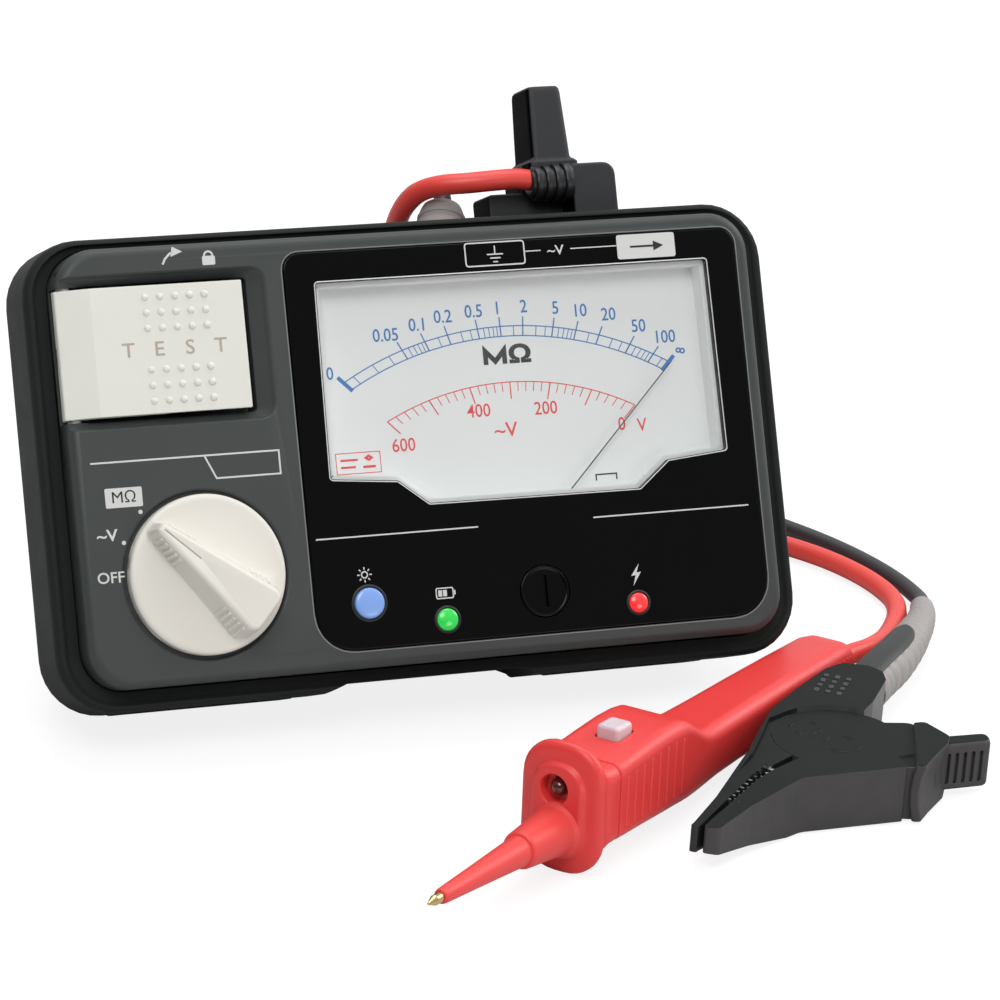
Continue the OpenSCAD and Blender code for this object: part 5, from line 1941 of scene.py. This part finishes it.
@dataclass
class Plugs:
    """Line plug with its tab and ribbed relief, and the earth plug's boot."""

    ribs: int = 4
    rib_pitch: float = 2.05
    rib_radius: float = 4.0
    rib_taper: float = 0.12

    def body(self) -> bpy.types.Object:
        """Joins the plug's blocks."""
        block = Form().slab(box_outline(42.6, 43.3, 52.2, 56.3), -35, -18, (0.5, 0.5, 2.6, 0.6), 0.7, 0.7)
        plug = block.mesh("line_plug_dressed")
        for outline, z0, z1, corner in (
            (box_outline(26.6, 43.3, 43.2, 51.6), -35, -24.9, 1.0),
            (box_outline(33.6, 50, 44, 57.2), -34, -24.9, 0.8),
        ):
            plug = worked(plug, Form().slab(outline, z0, z1, corner, 0.6, 0.6), Cut.ALSO)
        return plug

    def tab(self) -> Form:
        """Lofts the tall tapered tab."""
        rings = []
        for y, x0, x1, z0, z1, r in (
            (56.0, 34.6, 45.4, -33.4, -20.4, 1.4), (57.2, 34.6, 45.4, -33.4, -20.4, 1.4),
            (57.75, 35.1, 44.9, -33.1, -20.9, 1.5), (58.0, 35.5, 44.5, -33.0, -21.3, 1.5),
            (58.4, 35.75, 44.25, -33.0, -21.4, 1.5), (65, 35.95, 43.95, -32.85, -21.65, 1.5),
            (71.6, 36.2, 43.65, -32.7, -21.95, 1.5), (72.5, 36.35, 43.5, -32.55, -22.1, 1.4),
            (72.95, 36.75, 43.1, -32.1, -22.5, 1.1), (73.05, 37.4, 42.5, -31.5, -23.1, 0.8),
        ):
            rings.append([Vector((x, y, z)) for x, z in rounded(box_outline(x0, z0, x1, z1), r, 4)])
        return Form().loft(rings)

    def relief(self) -> bpy.types.Object:
        """Makes the ribbed relief that the red lead leaves by."""
        place = Matrix.Translation((42.7, 52.8, -20.6)) @ Matrix.Rotation(-math.pi / 2, 4, "Y")
        profile = [(0.01, 0.0), (3.9, 0.0)]
        for i in range(self.ribs):
            z = 0.4 + self.rib_pitch * i
            r = self.rib_radius - self.rib_taper * i
            profile += [(r - 0.15, z), (r, z + 0.2), (r, z + 1.1), (r - 0.15, z + 1.3)]
            profile += [(r - 0.75, z + 1.38), (r - 0.75, z + 1.95)]
        profile += [(2.9, 8.4), (2.6, 8.7), (2.15, 8.75), (0.01, 8.75)]
        return eased(Form().turned(profile, place, 40).mesh("relief_dressed"), 0)

    def earth(self) -> bpy.types.Object:
        """Makes the grey boot of the earth plug."""
        way = BOOT_HEAD - BOOT_FOOT
        long = way.length
        place = Matrix.Translation(BOOT_FOOT) @ way.to_track_quat("Z", "X").to_matrix().to_4x4()
        profile = [
            (0.01, 0.6), (5.4, 0.6), (5.55, 0.9), (5.5, 1.8), (5.0, 2.6), (4.75, 3.2), (4.75, 3.5), (4.95, 3.6),
            (4.95, 4.3), (4.7, 4.4), (4.55, 5.2), (4.2, long - 1.0), (3.9, long - 0.4), (3.2, long),
            (2.0, long + 0.1), (0.01, long + 0.1),
        ]
        boot = Form().turned(profile, place, 48)
        flange = Matrix.Translation(BOOT_FOOT) @ Matrix.Rotation(-math.pi / 2, 4, "X")
        boot.turned([(0.01, -0.1), (5.7, -0.1), (5.75, 0.2), (5.7, 1.0), (5.4, 1.2), (0.01, 1.2)], flange, 48)
        return eased(boot.mesh("earth_boot"), 0)

    def build(self, bench: Bench) -> None:
        """Makes the plugs.

        Args:
            bench: Where they are placed.
        """
        plug = worked(self.body(), self.tab(), Cut.ALSO)
        plug = eased(plug, 0.2, 40)
        # Faces that look to the case's left get the near-black copy of the plug's plastic: painted shade.
        for finish in (Look.PLUG, Look.PLUG_SHADE):
            plug.data.materials.append(finish.material())
        for face in plug.data.polygons:
            face.material_index = int(face.normal.x < -0.8)
        bench.on_case(plug, None, "plug_black", "line_plug")
        bench.on_case(self.relief(), Look.RELIEF, "plug_black", "line_plug_relief")
        bench.on_case(self.earth(), Look.GREY, "grey_boot", "earth_plug")


# ---------------------------------------------------------------- probe and clip


@dataclass
class Probe:
    """Red probe with its lamp, button, sleeve and pin.

    Along it runs s, from the tip's side to the cord; slices are given as
    (s, width, low, high, corner, side).
    """

    sleeve_rise: float = -4.6
    lamp_at: Flat = (0.6, 3.4)
    nose_slices: tuple[tuple[float, ...], ...] = (
        (-2.5, 9.4, -9.4, 7.6, 4.5), (-2.4, 10.2, -9.8, 8.0, 4.9), (-2.15, 10.9, -10.1, 8.4, 5.2),
        (-1.5, 11.4, -10.4, 8.7, 5.5), (-1.25, 12.2, -10.8, 9.1, 5.9), (-1.15, 14.2, -12, 10.6, 6.7),
        (-0.95, 15.8, -12.8, 11.4, 7.3), (-0.55, 16.9, -13.3, 12.0, 7.6), (0, 17.5, -13.6, 12.3, 7.8),
        (0.7, 17.6, -13.6, 12.3, 7.8), (1.3, 17.3, -13.4, 12.1, 7.6), (1.7, 16.6, -12.9, 11.5, 7.2),
        (2.0, 16.3, -11.4, 9.8, 6), (2.4, 16.7, -9.8, 8.3, 4.2), (3.0, 17.1, -8.9, 7.7, 3.2),
        (4.2, 17.2, -8.3, 7.4, 2.9), (6.3, 17.2, -8.2, 7.45, 2.8), (6.6, 17.0, -8.1, 7.35, 2.7),
        (6.75, 16.0, -7.6, 6.9, 2.3),
    )
    slices: tuple[tuple[float, ...], ...] = (
        (6.88, 16.0, -7.6, 6.9, 2.3, 0), (7.02, 17.0, -8.1, 7.35, 2.7, 0), (7.3, 17.2, -8.2, 7.5, 2.7, 0),
        (10, 17.2, -8.2, 7.7, 2.6, 0),
        (17, 17.2, -8.3, 8.4, 2.8, 0), (24, 17.2, -8.4, 8.9, 2.8, 0), (29, 17.1, -8.45, 8.9, 2.8, 0),
        (32, 17.0, -8.5, 8.5, 2.7, 0), (34.5, 16.7, -8.6, 7.4, 2.7, 0), (38, 15.9, -8.7, 5.2, 2.7, 0),
        (41.5, 15.1, -8.8, 3.4, 2.7, 0.1), (44.5, 14.6, -8.8, 2.7, 2.8, 0.15), (48, 14.2, -8.7, 2.6, 2.9, 0.2),
        (58, 13.7, -8.5, 2.6, 2.9, 0.35), (72, 13.3, -8.4, 2.7, 2.9, 0.5), (88, 12.9, -8.3, 2.7, 2.9, 0.6),
        (101, 12.5, -8.2, 2.6, 2.9, 0.7), (104.4, 11.9, -7.9, 2.2, 3.2, 0.65), (106, 10.6, -7.4, 1.3, 3.4, 0.5),
        (106.6, 8.6, -6.4, 0.2, 3.2, 0.4), (106.7, 7.4, -6.6, -0.2, 3.1, 0.3), (108.6, 6.4, -6.5, -0.35, 3.0, 0.1),
        (108.75, 5.4, -6.1, -0.7, 2.6, 0.1),
    )

    @staticmethod
    def skin(slices: Sequence[Sequence[float]], steps: int = 7) -> Form:
        """Lofts rounded slices across the probe.

        Args:
            slices: The slices in order.
            steps: Fineness of their corners.

        Returns:
            The form.
        """
        rings = []
        for s, width, low, high, corner, *side in slices:
            middle = side[0] if side else 0.0
            outline = rounded(box_outline(middle - width / 2, low, middle + width / 2, high), corner, steps)
            rings.append([Vector((s, y, z)) for y, z in outline])
        return Form().loft(rings)

    def along(self, s: float) -> tuple[float, float, float]:
        """Gives the handle's width, low and high at s."""
        for a, b in zip(self.slices, self.slices[1:]):
            if a[0] <= s <= b[0]:
                t = (s - a[0]) / (b[0] - a[0])
                return tuple(a[k] + (b[k] - a[k]) * t for k in (1, 2, 3))
        return self.slices[0][1:4]

    def nose(self) -> bpy.types.Object:
        """Makes the guard with its boss and the lamp's recess."""
        nose = self.skin(self.nose_slices, 9).mesh("probe_nose_dressed")
        y, z = self.lamp_at
        turn = Matrix.Translation((0, y, z)) @ Matrix.Rotation(math.pi / 2, 4, "Y")
        profile = [(3.6, -4), (3.35, -2.55), (3.05, -2.3), (2.95, -1.9), (2.8, 0.1), (2.2, 0.25), (1.85, 0.3),
                   (1.85, 2.6)]
        nose = worked(nose, Form().turned(profile, turn, 40))
        bore = Matrix.Translation((0, 0, self.sleeve_rise)) @ Matrix.Rotation(math.pi / 2, 4, "Y")
        nose = worked(nose, Form().turned([(3, -4), (3, 7)], bore, 40))
        return eased(nose, 0, 50)

    def handle(self) -> bpy.types.Object:
        """Makes the handle with the button's well."""
        handle = self.skin(self.slices).mesh("probe_handle_dressed")
        well = rounded(box_outline(14.9, -2.8, 21.1, 2.8), 0.9, 4)
        handle = worked(handle, Form().loft([lifted(well, 4), lifted(well, 14)]))
        turn = Matrix.Rotation(math.pi / 2, 4, "Y")
        for radius, low, s0, s1 in ((2.15, -3.4, 98, 112), (3.05, self.sleeve_rise, 5, 9)):
            hole = Form().turned([(radius, s0), (radius, s1)], Matrix.Translation((0, 0, low)) @ turn, 32)
            handle = worked(handle, hole)
        return eased(handle, 0, 50)

    def ribs(self, bench: Bench) -> bpy.types.Object:
        """Sets grip ribs on both sides, and short ones at the tail.

        Args:
            bench: Holds the repeater.

        Returns:
            The ribs.
        """
        spots = []
        for i in range(8):
            s = 9.4 + 2.95 * i
            width, low, high = self.along(s)
            tall = (high - low - 5.4) / 10
            for side in (-1, 1):
                at = (s, side * (width / 2 - 0.05), (low + high) / 2 - 0.2)
                spots.append(Spot(at, stretch=(1, 1, tall)))
        for i in range(4):
            s = 98.2 + 1.7 * i
            width, low, high = self.along(s)
            for side in (-1, 1):
                at = (s, 0.7 + side * (width / 2 - 0.12), high - 4.4)
                spots.append(Spot(at, stretch=(0.8, 1, 0.42)))
        outline = [(0.42 * x, 0.3 * y) for x, y in circle(1, 12)]
        levels = ((0.15, -5), (0.7, -4.85), (1, -4.5), (1, 4.5), (0.7, 4.85), (0.15, 5))
        rib = Form().loft([[Vector((x * f, y * f, z)) for x, y in outline] for f, z in levels])
        return bench.repeater.set_out("probe_ribs", spots, rib, Look.PROBE)

    def sleeve(self) -> bpy.types.Object:
        """Makes the two-stage sleeve with its step ring."""
        place = Matrix.Translation((-2, 0, self.sleeve_rise)) @ Matrix.Rotation(-math.pi / 2, 4, "Y")
        profile = [
            (1.02, -4.8), (2.9, -4.8), (2.9, -0.2), (5.6, -0.1), (5.45, 0.5), (5.05, 0.9), (4.8, 1.5),
            (4.62, 3), (4.2, 7), (3.82, 11), (3.68, 12.4), (3.6, 12.7), (3.35, 12.95), (3.05, 13),
            (3.0, 13.3), (2.9, 15), (2.25, 26), (1.55, 38.6), (1.45, 39.2), (1.3, 39.45), (1.02, 39.5),
        ]
        return eased(Form().turned(profile, place, 40, looped=True).mesh("probe_sleeve_dressed"), 0, 50)

    def lamp(self) -> bpy.types.Object:
        """Makes the probe's small round lamp."""
        y, z = self.lamp_at
        place = Matrix.Translation((-0.4, y, z)) @ Matrix.Rotation(-math.pi / 2, 4, "Y")
        dome = [(1.75 * math.cos(a), 1.6 * math.sin(a)) for a in (0.0, 0.3, 0.6, 0.9, 1.2, 1.45)]
        profile = [(0.01, -2.6), (1.75, -2.6), *dome, (0.01, 1.6)]
        return eased(Form().turned(profile, place, 32).mesh("probe_lamp_dressed"), 0)

    def button(self) -> bpy.types.Object:
        """Makes the pale push button."""
        block = Form().slab(box_outline(15.2, -2.5, 20.8, 2.5), 6.6, 10.7, 0.9, 0.8, 0.2)
        return eased(block.mesh("probe_button_dressed"), 0)

    def build(self, bench: Bench) -> list[bpy.types.Object]:
        """Makes the probe.

        Args:
            bench: Where it is placed.

        Returns:
            Its pieces.
        """
        handle = self.handle()
        handle.data.materials.append(Look.PROBE.material())
        handle = joined("probe_handle_dressed", [handle, self.ribs(bench)])
        return [
            bench.fit(piece, PROBE_PLACE, finish, body, (node,))
            for piece, finish, body, slot, node in (
                (handle, None, "tester", "probe_red", "probe_handle"),
                (self.nose(), Look.PROBE, "tester", "probe_red", "probe_nose"),
                (self.sleeve(), Look.SLEEVE, "tester", "sleeve_red", "probe_sleeve"),
                (self.lamp(), Look.BULB, "tester", "lamp", "probe_lamp"),
                (self.button(), Look.BUTTON, "probe_button", "white_button", "probe_button"),
            )
        ]


CLIP_PIVOT = (67.0, -82.4)


@dataclass
class Clip:
    """Black crocodile clip, lying on its side, with its grey boot."""

    tall: float = 12.6
    sunk: float = 0.9
    bare: float = 0.05
    leaf: float = 12.9
    leaf_ends: Flat = (20.6, 211.3)
    grip_slots: int = 5
    boot_ribs: int = 14
    ribbed: Flat = (0.16, 0.95)
    hole_top: float = 11.35
    front_plan: tuple[Flat, ...] = (
        (56, -89.08), (44.5, -95.3), (28.2, -107.5), (31.4, -108.8), (40, -103.6), (53.5, -97.5), (75.2, -97.5),
        (75.2, -92.6), (84.6, -92), (84.6, -79.2), (79.07, -77.86),
    )
    rear_plan: tuple[Flat, ...] = (
        (27.7, -107.1), (43.8, -94.6), (58.6, -85.6), (63, -86.8), (71, -84.6), (72, -78), (80, -70.2),
        (87, -61), (88, -57.2), (86.4, -54), (81.8, -51.4), (77, -53.4), (68, -60.6), (58.6, -69),
        (51.9, -78.1), (46.3, -86.3), (34.7, -98.7), (26.4, -106.2),
    )
    flange_plan: tuple[Flat, ...] = (
        (76.2, -98.2), (77.8, -99.2), (81.2, -95.6), (86.8, -90.2), (88.6, -87.2), (86.6, -80.4), (83.6, -80.4),
    )

    def outline(self) -> list[Flat]:
        """Gives the moving half's outline, its round leaf included."""
        points = rounded(self.front_plan, (0.1, 1, 1.2, 1.2, 6, 5, 0.6, 0.2, 0.4, 2.2, 0.1), 4)
        first, last = self.leaf_ends
        sweep = [math.radians(first + (last - first) * k / 60) for k in range(1, 60)]
        x, y = CLIP_PIVOT
        return [*points, *((x + self.leaf * math.cos(a), y + self.leaf * math.sin(a)) for a in sweep)]

    def side(self, low: float, high: float) -> Form:
        """Gives the block that thins the jaws towards their tips."""
        profile = [(-4, 3.4), (2, 3.2), (24, low), (90, low), (90, high), (26, high), (2, 8.6), (-4, 8.4)]
        turn = Matrix.Translation((27, -107.4, 0)) @ Matrix.Rotation(math.radians(31.8), 4, "Z")
        return Form().loft([[turn @ Vector((x, y, z)) for x, z in profile] for y in (40, -40)])

    def front_jaw(self) -> bpy.types.Object:
        """Makes the moving half's body: two leaves, the jaw and the neck, with the pivot's hole."""
        top = self.tall - self.sunk
        plan = self.outline()
        jaw = Form().loft([lifted(plan, 0), lifted(plan, top)]).mesh("clip_front_jaw_dressed")
        jaw = eased(worked(jaw, self.side(0, top), Cut.ONLY), 0.3, 38)
        gap = ((57.6, -89), (62, -92.4), (74, -88.6), (79, -78.2), (90, -78), (90, -60), (40, -60), (40, -88))
        jaw = worked(jaw, Form().loft([lifted(gap, z) for z in (3.9, 8.7)]))
        neck = ((74.8, -96.4), (77.6, -97.4), (84, -91), (84, -82), (74.8, -84))
        jaw = worked(jaw, Form().slab(neck, 0.05, 11.2, 0.4, 0.4, 0.1), Cut.ALSO)
        jaw = worked(jaw, pin(CLIP_PIVOT, 1.48, -1, self.hole_top, 28))
        return eased(worked(jaw, pin(CLIP_PIVOT, 3.8, 3.8, 8.8, 32)), 0, 40)

    def flange(self) -> bpy.types.Object:
        """Makes the finger guard, flared at its top and bottom."""
        rings = []
        for z, out, tight in (
            (0.05, 0.0, 0.5), (0.4, 0.35, 0.1), (1.2, 0.3, 0), (3.4, -0.35, 0.1), (6.3, -0.6, 0.15),
            (9.2, -0.35, 0.1), (11.4, 0.3, 0), (12.2, 0.35, 0.1), (12.6, 0.0, 0.5),
        ):
            outline = rounded(shrunk(self.flange_plan, tight), (0.5, 0.5, 3, 3, 1.6, 1.2, 0.5), 4)
            rings.append([Vector((x + out * 0.7, y - out * 0.7, z)) for x, y in outline])
        return eased(Form().loft(rings).mesh("clip_flange"), 0.12, 45)

    def grip(self) -> bpy.types.Object:
        """Makes the slotted grip."""
        outline = ((84, -89.2), (97.0, -89.2), (98.2, -85.2), (86, -84.6))
        grip = Form().slab(outline, 1.2, 11.2, (0.3, 1.3, 1.6, 0.3), 0.9, 0.9).mesh("clip_grip")
        for i in range(self.grip_slots):
            outline = box_outline(87.75 + 1.75 * i, -89.9, 88.5 + 1.75 * i, -88.3)
            grip = worked(grip, Form().slab(outline, 2.7, 9.2, 0.2, 0.3, 0.3))
        return eased(grip, 0.1, 50)

    def marks(self) -> list[bpy.types.Object]:
        """Makes the low raised ring marks on the upper leaf."""

        def girth(share: float) -> float:
            """Gives a mark's radius along its way."""
            return 0.3 * math.sqrt(max(0.05, math.sin(math.pi * share)))

        top = self.tall - self.sunk
        made = []
        for at, radius, pieces in (
            ((66.7, -85.2), 3.4, ((200, 262), (285, 340), (20, 70), (110, 160))),
            ((62.6, -76.7), 3.0, ((10, 50), (70, 108), (122, 165), (200, 232), (250, 290), (310, 345))),
        ):
            for start, stop in pieces:
                line = [math.radians(start + (stop - start) * k / 6) for k in range(7)]
                path = [Vector((at[0] + radius * math.cos(a), at[1] + radius * math.sin(a), top)) for a in line]
                made.append(eased(Form().hose(path, girth, 10).mesh("mark")))
        return made

    def rear_jaw(self) -> bpy.types.Object:
        """Makes the fixed half: the cover with its raised rim and the cable block."""
        high = self.tall + 0.1
        plan = rounded(self.rear_plan, (0.4, 0.4, 0.4, 1, 1, 1, 2, 1.5, 1.6, 1.6, 2, 4, 6, 6, 6, 4, 2, 1), 4)
        body = Form().slab(plan, 0.3, high, 0.02, 0, steps=1).mesh("clip_rear_jaw_dressed")
        inner = [(27, -107.2), (43.8, -94.2), (65, -83.2), (70, -74), (62, -70.2), (56.4, -72.9), (52.6, -78.8),
                 (47.2, -86.7), (35.6, -98.9)]
        body = worked(body, self.side(0.3, high), Cut.ONLY)
        body = eased(worked(body, Form().slab(inner, self.tall - self.sunk, 14, 0.6, 0)), 0.55, 38)
        open_side = (
            (30, -112), (96, -112), (96, -80), (79, -74.4), (66, -76), (59.2, -85.4), (43.6, -94.6),
            (27.6, -107.1),
        )
        for z0, z1 in ((-1, 4.1), (8.5, 14)):
            body = worked(body, Form().slab(open_side, z0, z1, 0.02, 0, steps=1))
            body = worked(body, pin(CLIP_PIVOT, self.leaf + 0.15, z0, z1, 96))
        for radius, z0, z1 in ((1.7, -1, 14), (3.8, 3.8, 8.8)):
            body = worked(body, pin(CLIP_PIVOT, radius, z0, z1, 32))
        path = spline([BOOT_ROUTE[5], BOOT_ROUTE[6], (85.1, -55, 7.3)], 3)
        return eased(worked(body, Form().hose(path, lambda t: 4.6, 20)), 0, 40)

    def texture(self, bench: Bench) -> bpy.types.Object:
        """Sets the raised chequers on the cable block."""
        spots = []
        across, down = Vector((0.62, 0.78, 0)).normalized(), Vector((0.78, -0.62, 0)).normalized()
        for i in range(4):
            for k in range(3):
                at = Vector((71.2, -62.4, self.tall + 0.05)) + across * (2.5 * i) + down * (2.3 * k)
                spots.append(Spot(tuple(at), (0, 0, 0.9), (1.0 - 0.2 * ((i + k) % 2), 1, 1)))
        pad = Form().slab(box_outline(-0.8, -0.55, 0.8, 0.55), -0.2, 0.22, 0.25, 0.18)
        return bench.repeater.set_out("clip_chequers", spots, pad, Look.CLIP_RIM)

    def teeth(self, bench: Bench, side: int) -> bpy.types.Object:
        """Sets one jaw's row of metal teeth.

        Args:
            bench: Holds the repeater.
            side: 1 for the rear jaw, -1 for the front jaw.

        Returns:
            The teeth.
        """
        way = Vector((2.5, 1.9, 0)).normalized()
        across = Vector((-way.y, way.x, 0))
        turn = math.atan2(way.y, way.x)
        outline = ((-0.75, 1.5), (0.75, 1.5), (0.1, 0.05), (-0.1, 0.05))
        tooth = Form().loft([lifted(outline, z) for z in (-2, 2.4)])
        name, shift, flip = ("clip_rear", 0, 0) if side > 0 else ("clip_front", 0.8, math.pi)
        spots = []
        for i in range(9):
            at = Vector((37.3, -100.2, 7.6 + 0.19 * i)) + way * (1.62 * i + shift) + across * (0.1 * side)
            spots.append(Spot(tuple(at), (0, 0, turn + flip)))
        return bench.repeater.set_out(name + "_teeth_dressed", spots, tooth, Look.STEEL)

    def boot(self) -> bpy.types.Object:
        """Makes the ribbed grey boot."""

        first, last = self.ribbed

        def radius(share: float) -> float:
            """Gives the ribbed boot's radius along its way."""
            whole = self.bare + (1 - self.bare) * share
            zone = max(0.0, min(1.0, (whole - first) / 0.08)) * max(0.0, min(1.0, (last - whole) / 0.06))
            dip = (0.5 - 0.5 * math.cos(2 * math.pi * self.boot_ribs * (whole - first) / 0.79)) ** 3
            return self.boot_radius(whole) - 0.3 * zone * dip

        line = spline(BOOT_ROUTE, 24)
        line = line[round(self.bare * (len(line) - 1)):]
        return eased(Form().hose(line, radius, 28).mesh("clip_boot_dressed"), 0, 60)

    @staticmethod
    def boot_radius(share: float) -> float:
        """Gives the boot's radius at a share of its way from the cord to the clip."""
        return 2.35 + 2.45 * min(1.0, share / 0.75)

    def inset(self) -> bpy.types.Object:
        """Makes the dark oval that stands slightly proud of the boot's side."""
        line = spline(BOOT_ROUTE, 14)
        first, last = round(0.56 * (len(line) - 1)), round(0.985 * (len(line) - 1))
        rings = []
        for i in range(first, last + 1):
            share = (i - first) / (last - first)
            ahead = (line[min(i + 1, len(line) - 1)] - line[i - 1]).normalized()
            left = Vector((0, 0, 1)).cross(ahead).normalized()
            up = ahead.cross(left)
            base = self.boot_radius(i / (len(line) - 1))
            half = math.radians(46) * math.sqrt(max(0.02, 1 - max(0.0, 1 - share / 0.24) ** 2))
            middle = math.radians(-10)
            ring = []
            for radius, flip in ((base + 0.22, 1), (base - 0.6, -1)):
                for k in range(9):
                    angle = middle + half * (k / 4 - 1) * flip
                    lip = radius - (0.18 if k in (0, 8) and flip > 0 else 0)
                    ring.append(line[i] + (up * math.cos(angle) + left * math.sin(angle)) * lip)
            rings.append(ring)
        return eased(Form().loft(rings).mesh("boot_inset"), 0, 50)

    @staticmethod
    def tones_by_facing(piece: bpy.types.Object, side: Finish) -> None:
        """Gives a piece its smooth dark top and another finish on its sides, by which way each face points; on the
        moving half the sides' lighter grey is painted light, their coarse grain the moulding's own.
        """
        piece.data.materials.clear()
        for finish in (Look.CLIP, side):
            piece.data.materials.append(finish.material())
        for face in piece.data.polygons:
            face.material_index = 0 if face.normal.z > 0.75 else 1

    def build(self, bench: Bench) -> list[bpy.types.Object]:
        """Makes the clip.

        Args:
            bench: Where it is placed.

        Returns:
            Its pieces.
        """
        axle = pin(CLIP_PIVOT, 1.45, 0.2, self.hole_top - 0.15, 28).mesh("clip_pin_dressed")
        moving = [self.front_jaw(), self.flange(), self.grip(), *self.marks(), axle]
        rear = self.rear_jaw()
        # Painted light: the moving half's side walls take the lighter grey, its top the dark plastic.
        for piece in (*moving, rear):
            self.tones_by_facing(piece, Look.CLIP_RIM if piece is rear else Look.CLIP_LIT_SIDE)
        return [
            bench.fit(piece, TABLE_PLACE, finish, body, nodes)
            for piece, finish, body, slot, nodes in (
                (joined("clip_front_jaw_dressed", moving), None, "clip_jaw", "clip_black",
                 ("clip_front_jaw", "clip_pin")),
                (joined("clip_rear_jaw_dressed", [rear, self.texture(bench)]), None, "tester", "clip_black",
                 ("clip_rear_jaw",)),
                (self.teeth(bench, -1), None, "clip_jaw", "steel", ("clip_front_teeth",)),
                (self.teeth(bench, 1), None, "tester", "steel", ("clip_rear_teeth",)),
                (self.boot(), Look.GREY, "tester", "grey_boot", ("clip_boot",)),
                (self.inset(), Look.BOOT_OVAL, "tester", "grey_boot", ()),
            )
        ]


# ---------------------------------------------------------------- stand and battery door


@dataclass
class Stand:
    """Wire stand and battery door on the back."""

    wire_edge: float = 0.0
    door_edge: float = 0.3

    def build(self, bench: Bench) -> None:
        """Makes them from their solids.

        Args:
            bench: Where they are placed.
        """
        wire = bench.from_node("tilt_stand", "stand_wire", CASE_PLACE, self.wire_edge)
        bench.on_case(wire, Look.WIRE, "stand_wire", "tilt_stand", body="stand")
        door = bench.from_node("battery_cover", "battery_door", CASE_PLACE, self.door_edge)
        bench.on_case(door, Look.REAR, "rear_case", "battery_cover", body="battery_cover")


# ---------------------------------------------------------------- all together


INSIDE = {
    "knob_shaft": Look.STEEL, "rotary_switch": Look.HOUSING, "measure_pin": Look.SCREW,
    "measure_spring": Look.STEEL, "measure_switch": Look.HOUSING, "light_switch": Look.HOUSING,
    "display_board": Look.BOARD, "main_board": Look.BOARD, "power_board": Look.BOARD,
    "transformer": Look.COPPER, "moving_coil": Look.COPPER, "taut_band": Look.STEEL,
    "meter_magnet": Look.MAGNET, "meter_body": Look.HOUSING, "battery_box": Look.HOUSING,
    "batteries": Look.CELL, "battery_contacts": Look.STEEL, "line_socket": Look.HOUSING,
    "earth_socket": Look.HOUSING, "line_plug_pins": Look.BRASS, "earth_plug_pin": Look.BRASS,
    "probe_pin": Look.BRASS, "clip_spring": Look.STEEL,
    "case_screws": Look.STEEL, "battery_cover_screw": Look.STEEL,
}


def main() -> None:
    """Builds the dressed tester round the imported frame."""
    logging.basicConfig(level=logging.INFO, format="%(message)s")
    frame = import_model()
    bench = Bench(frame)
    studio = Studio()
    studio.camera()
    red, black = red_lead(), black_lead()
    red.build(bench)
    black.build(bench)
    CoilTies().build(bench)
    studio.light()
    studio.floor()
    Shell().build(bench)
    Meter().build(bench)
    Knob().build(bench)
    Lever().build(bench)
    FacePrints().build(bench)
    Plugs().build(bench)
    red.declare([*Probe().build(bench), "relief_dressed"])
    black.declare([*Clip().build(bench), "earth_boot"])
    Stand().build(bench)
    for node, finish in INSIDE.items():
        bench.paint(node, finish)
    bpy.context.scene.view_settings.view_transform = "Standard"


if __name__ == "__main__":
    main()
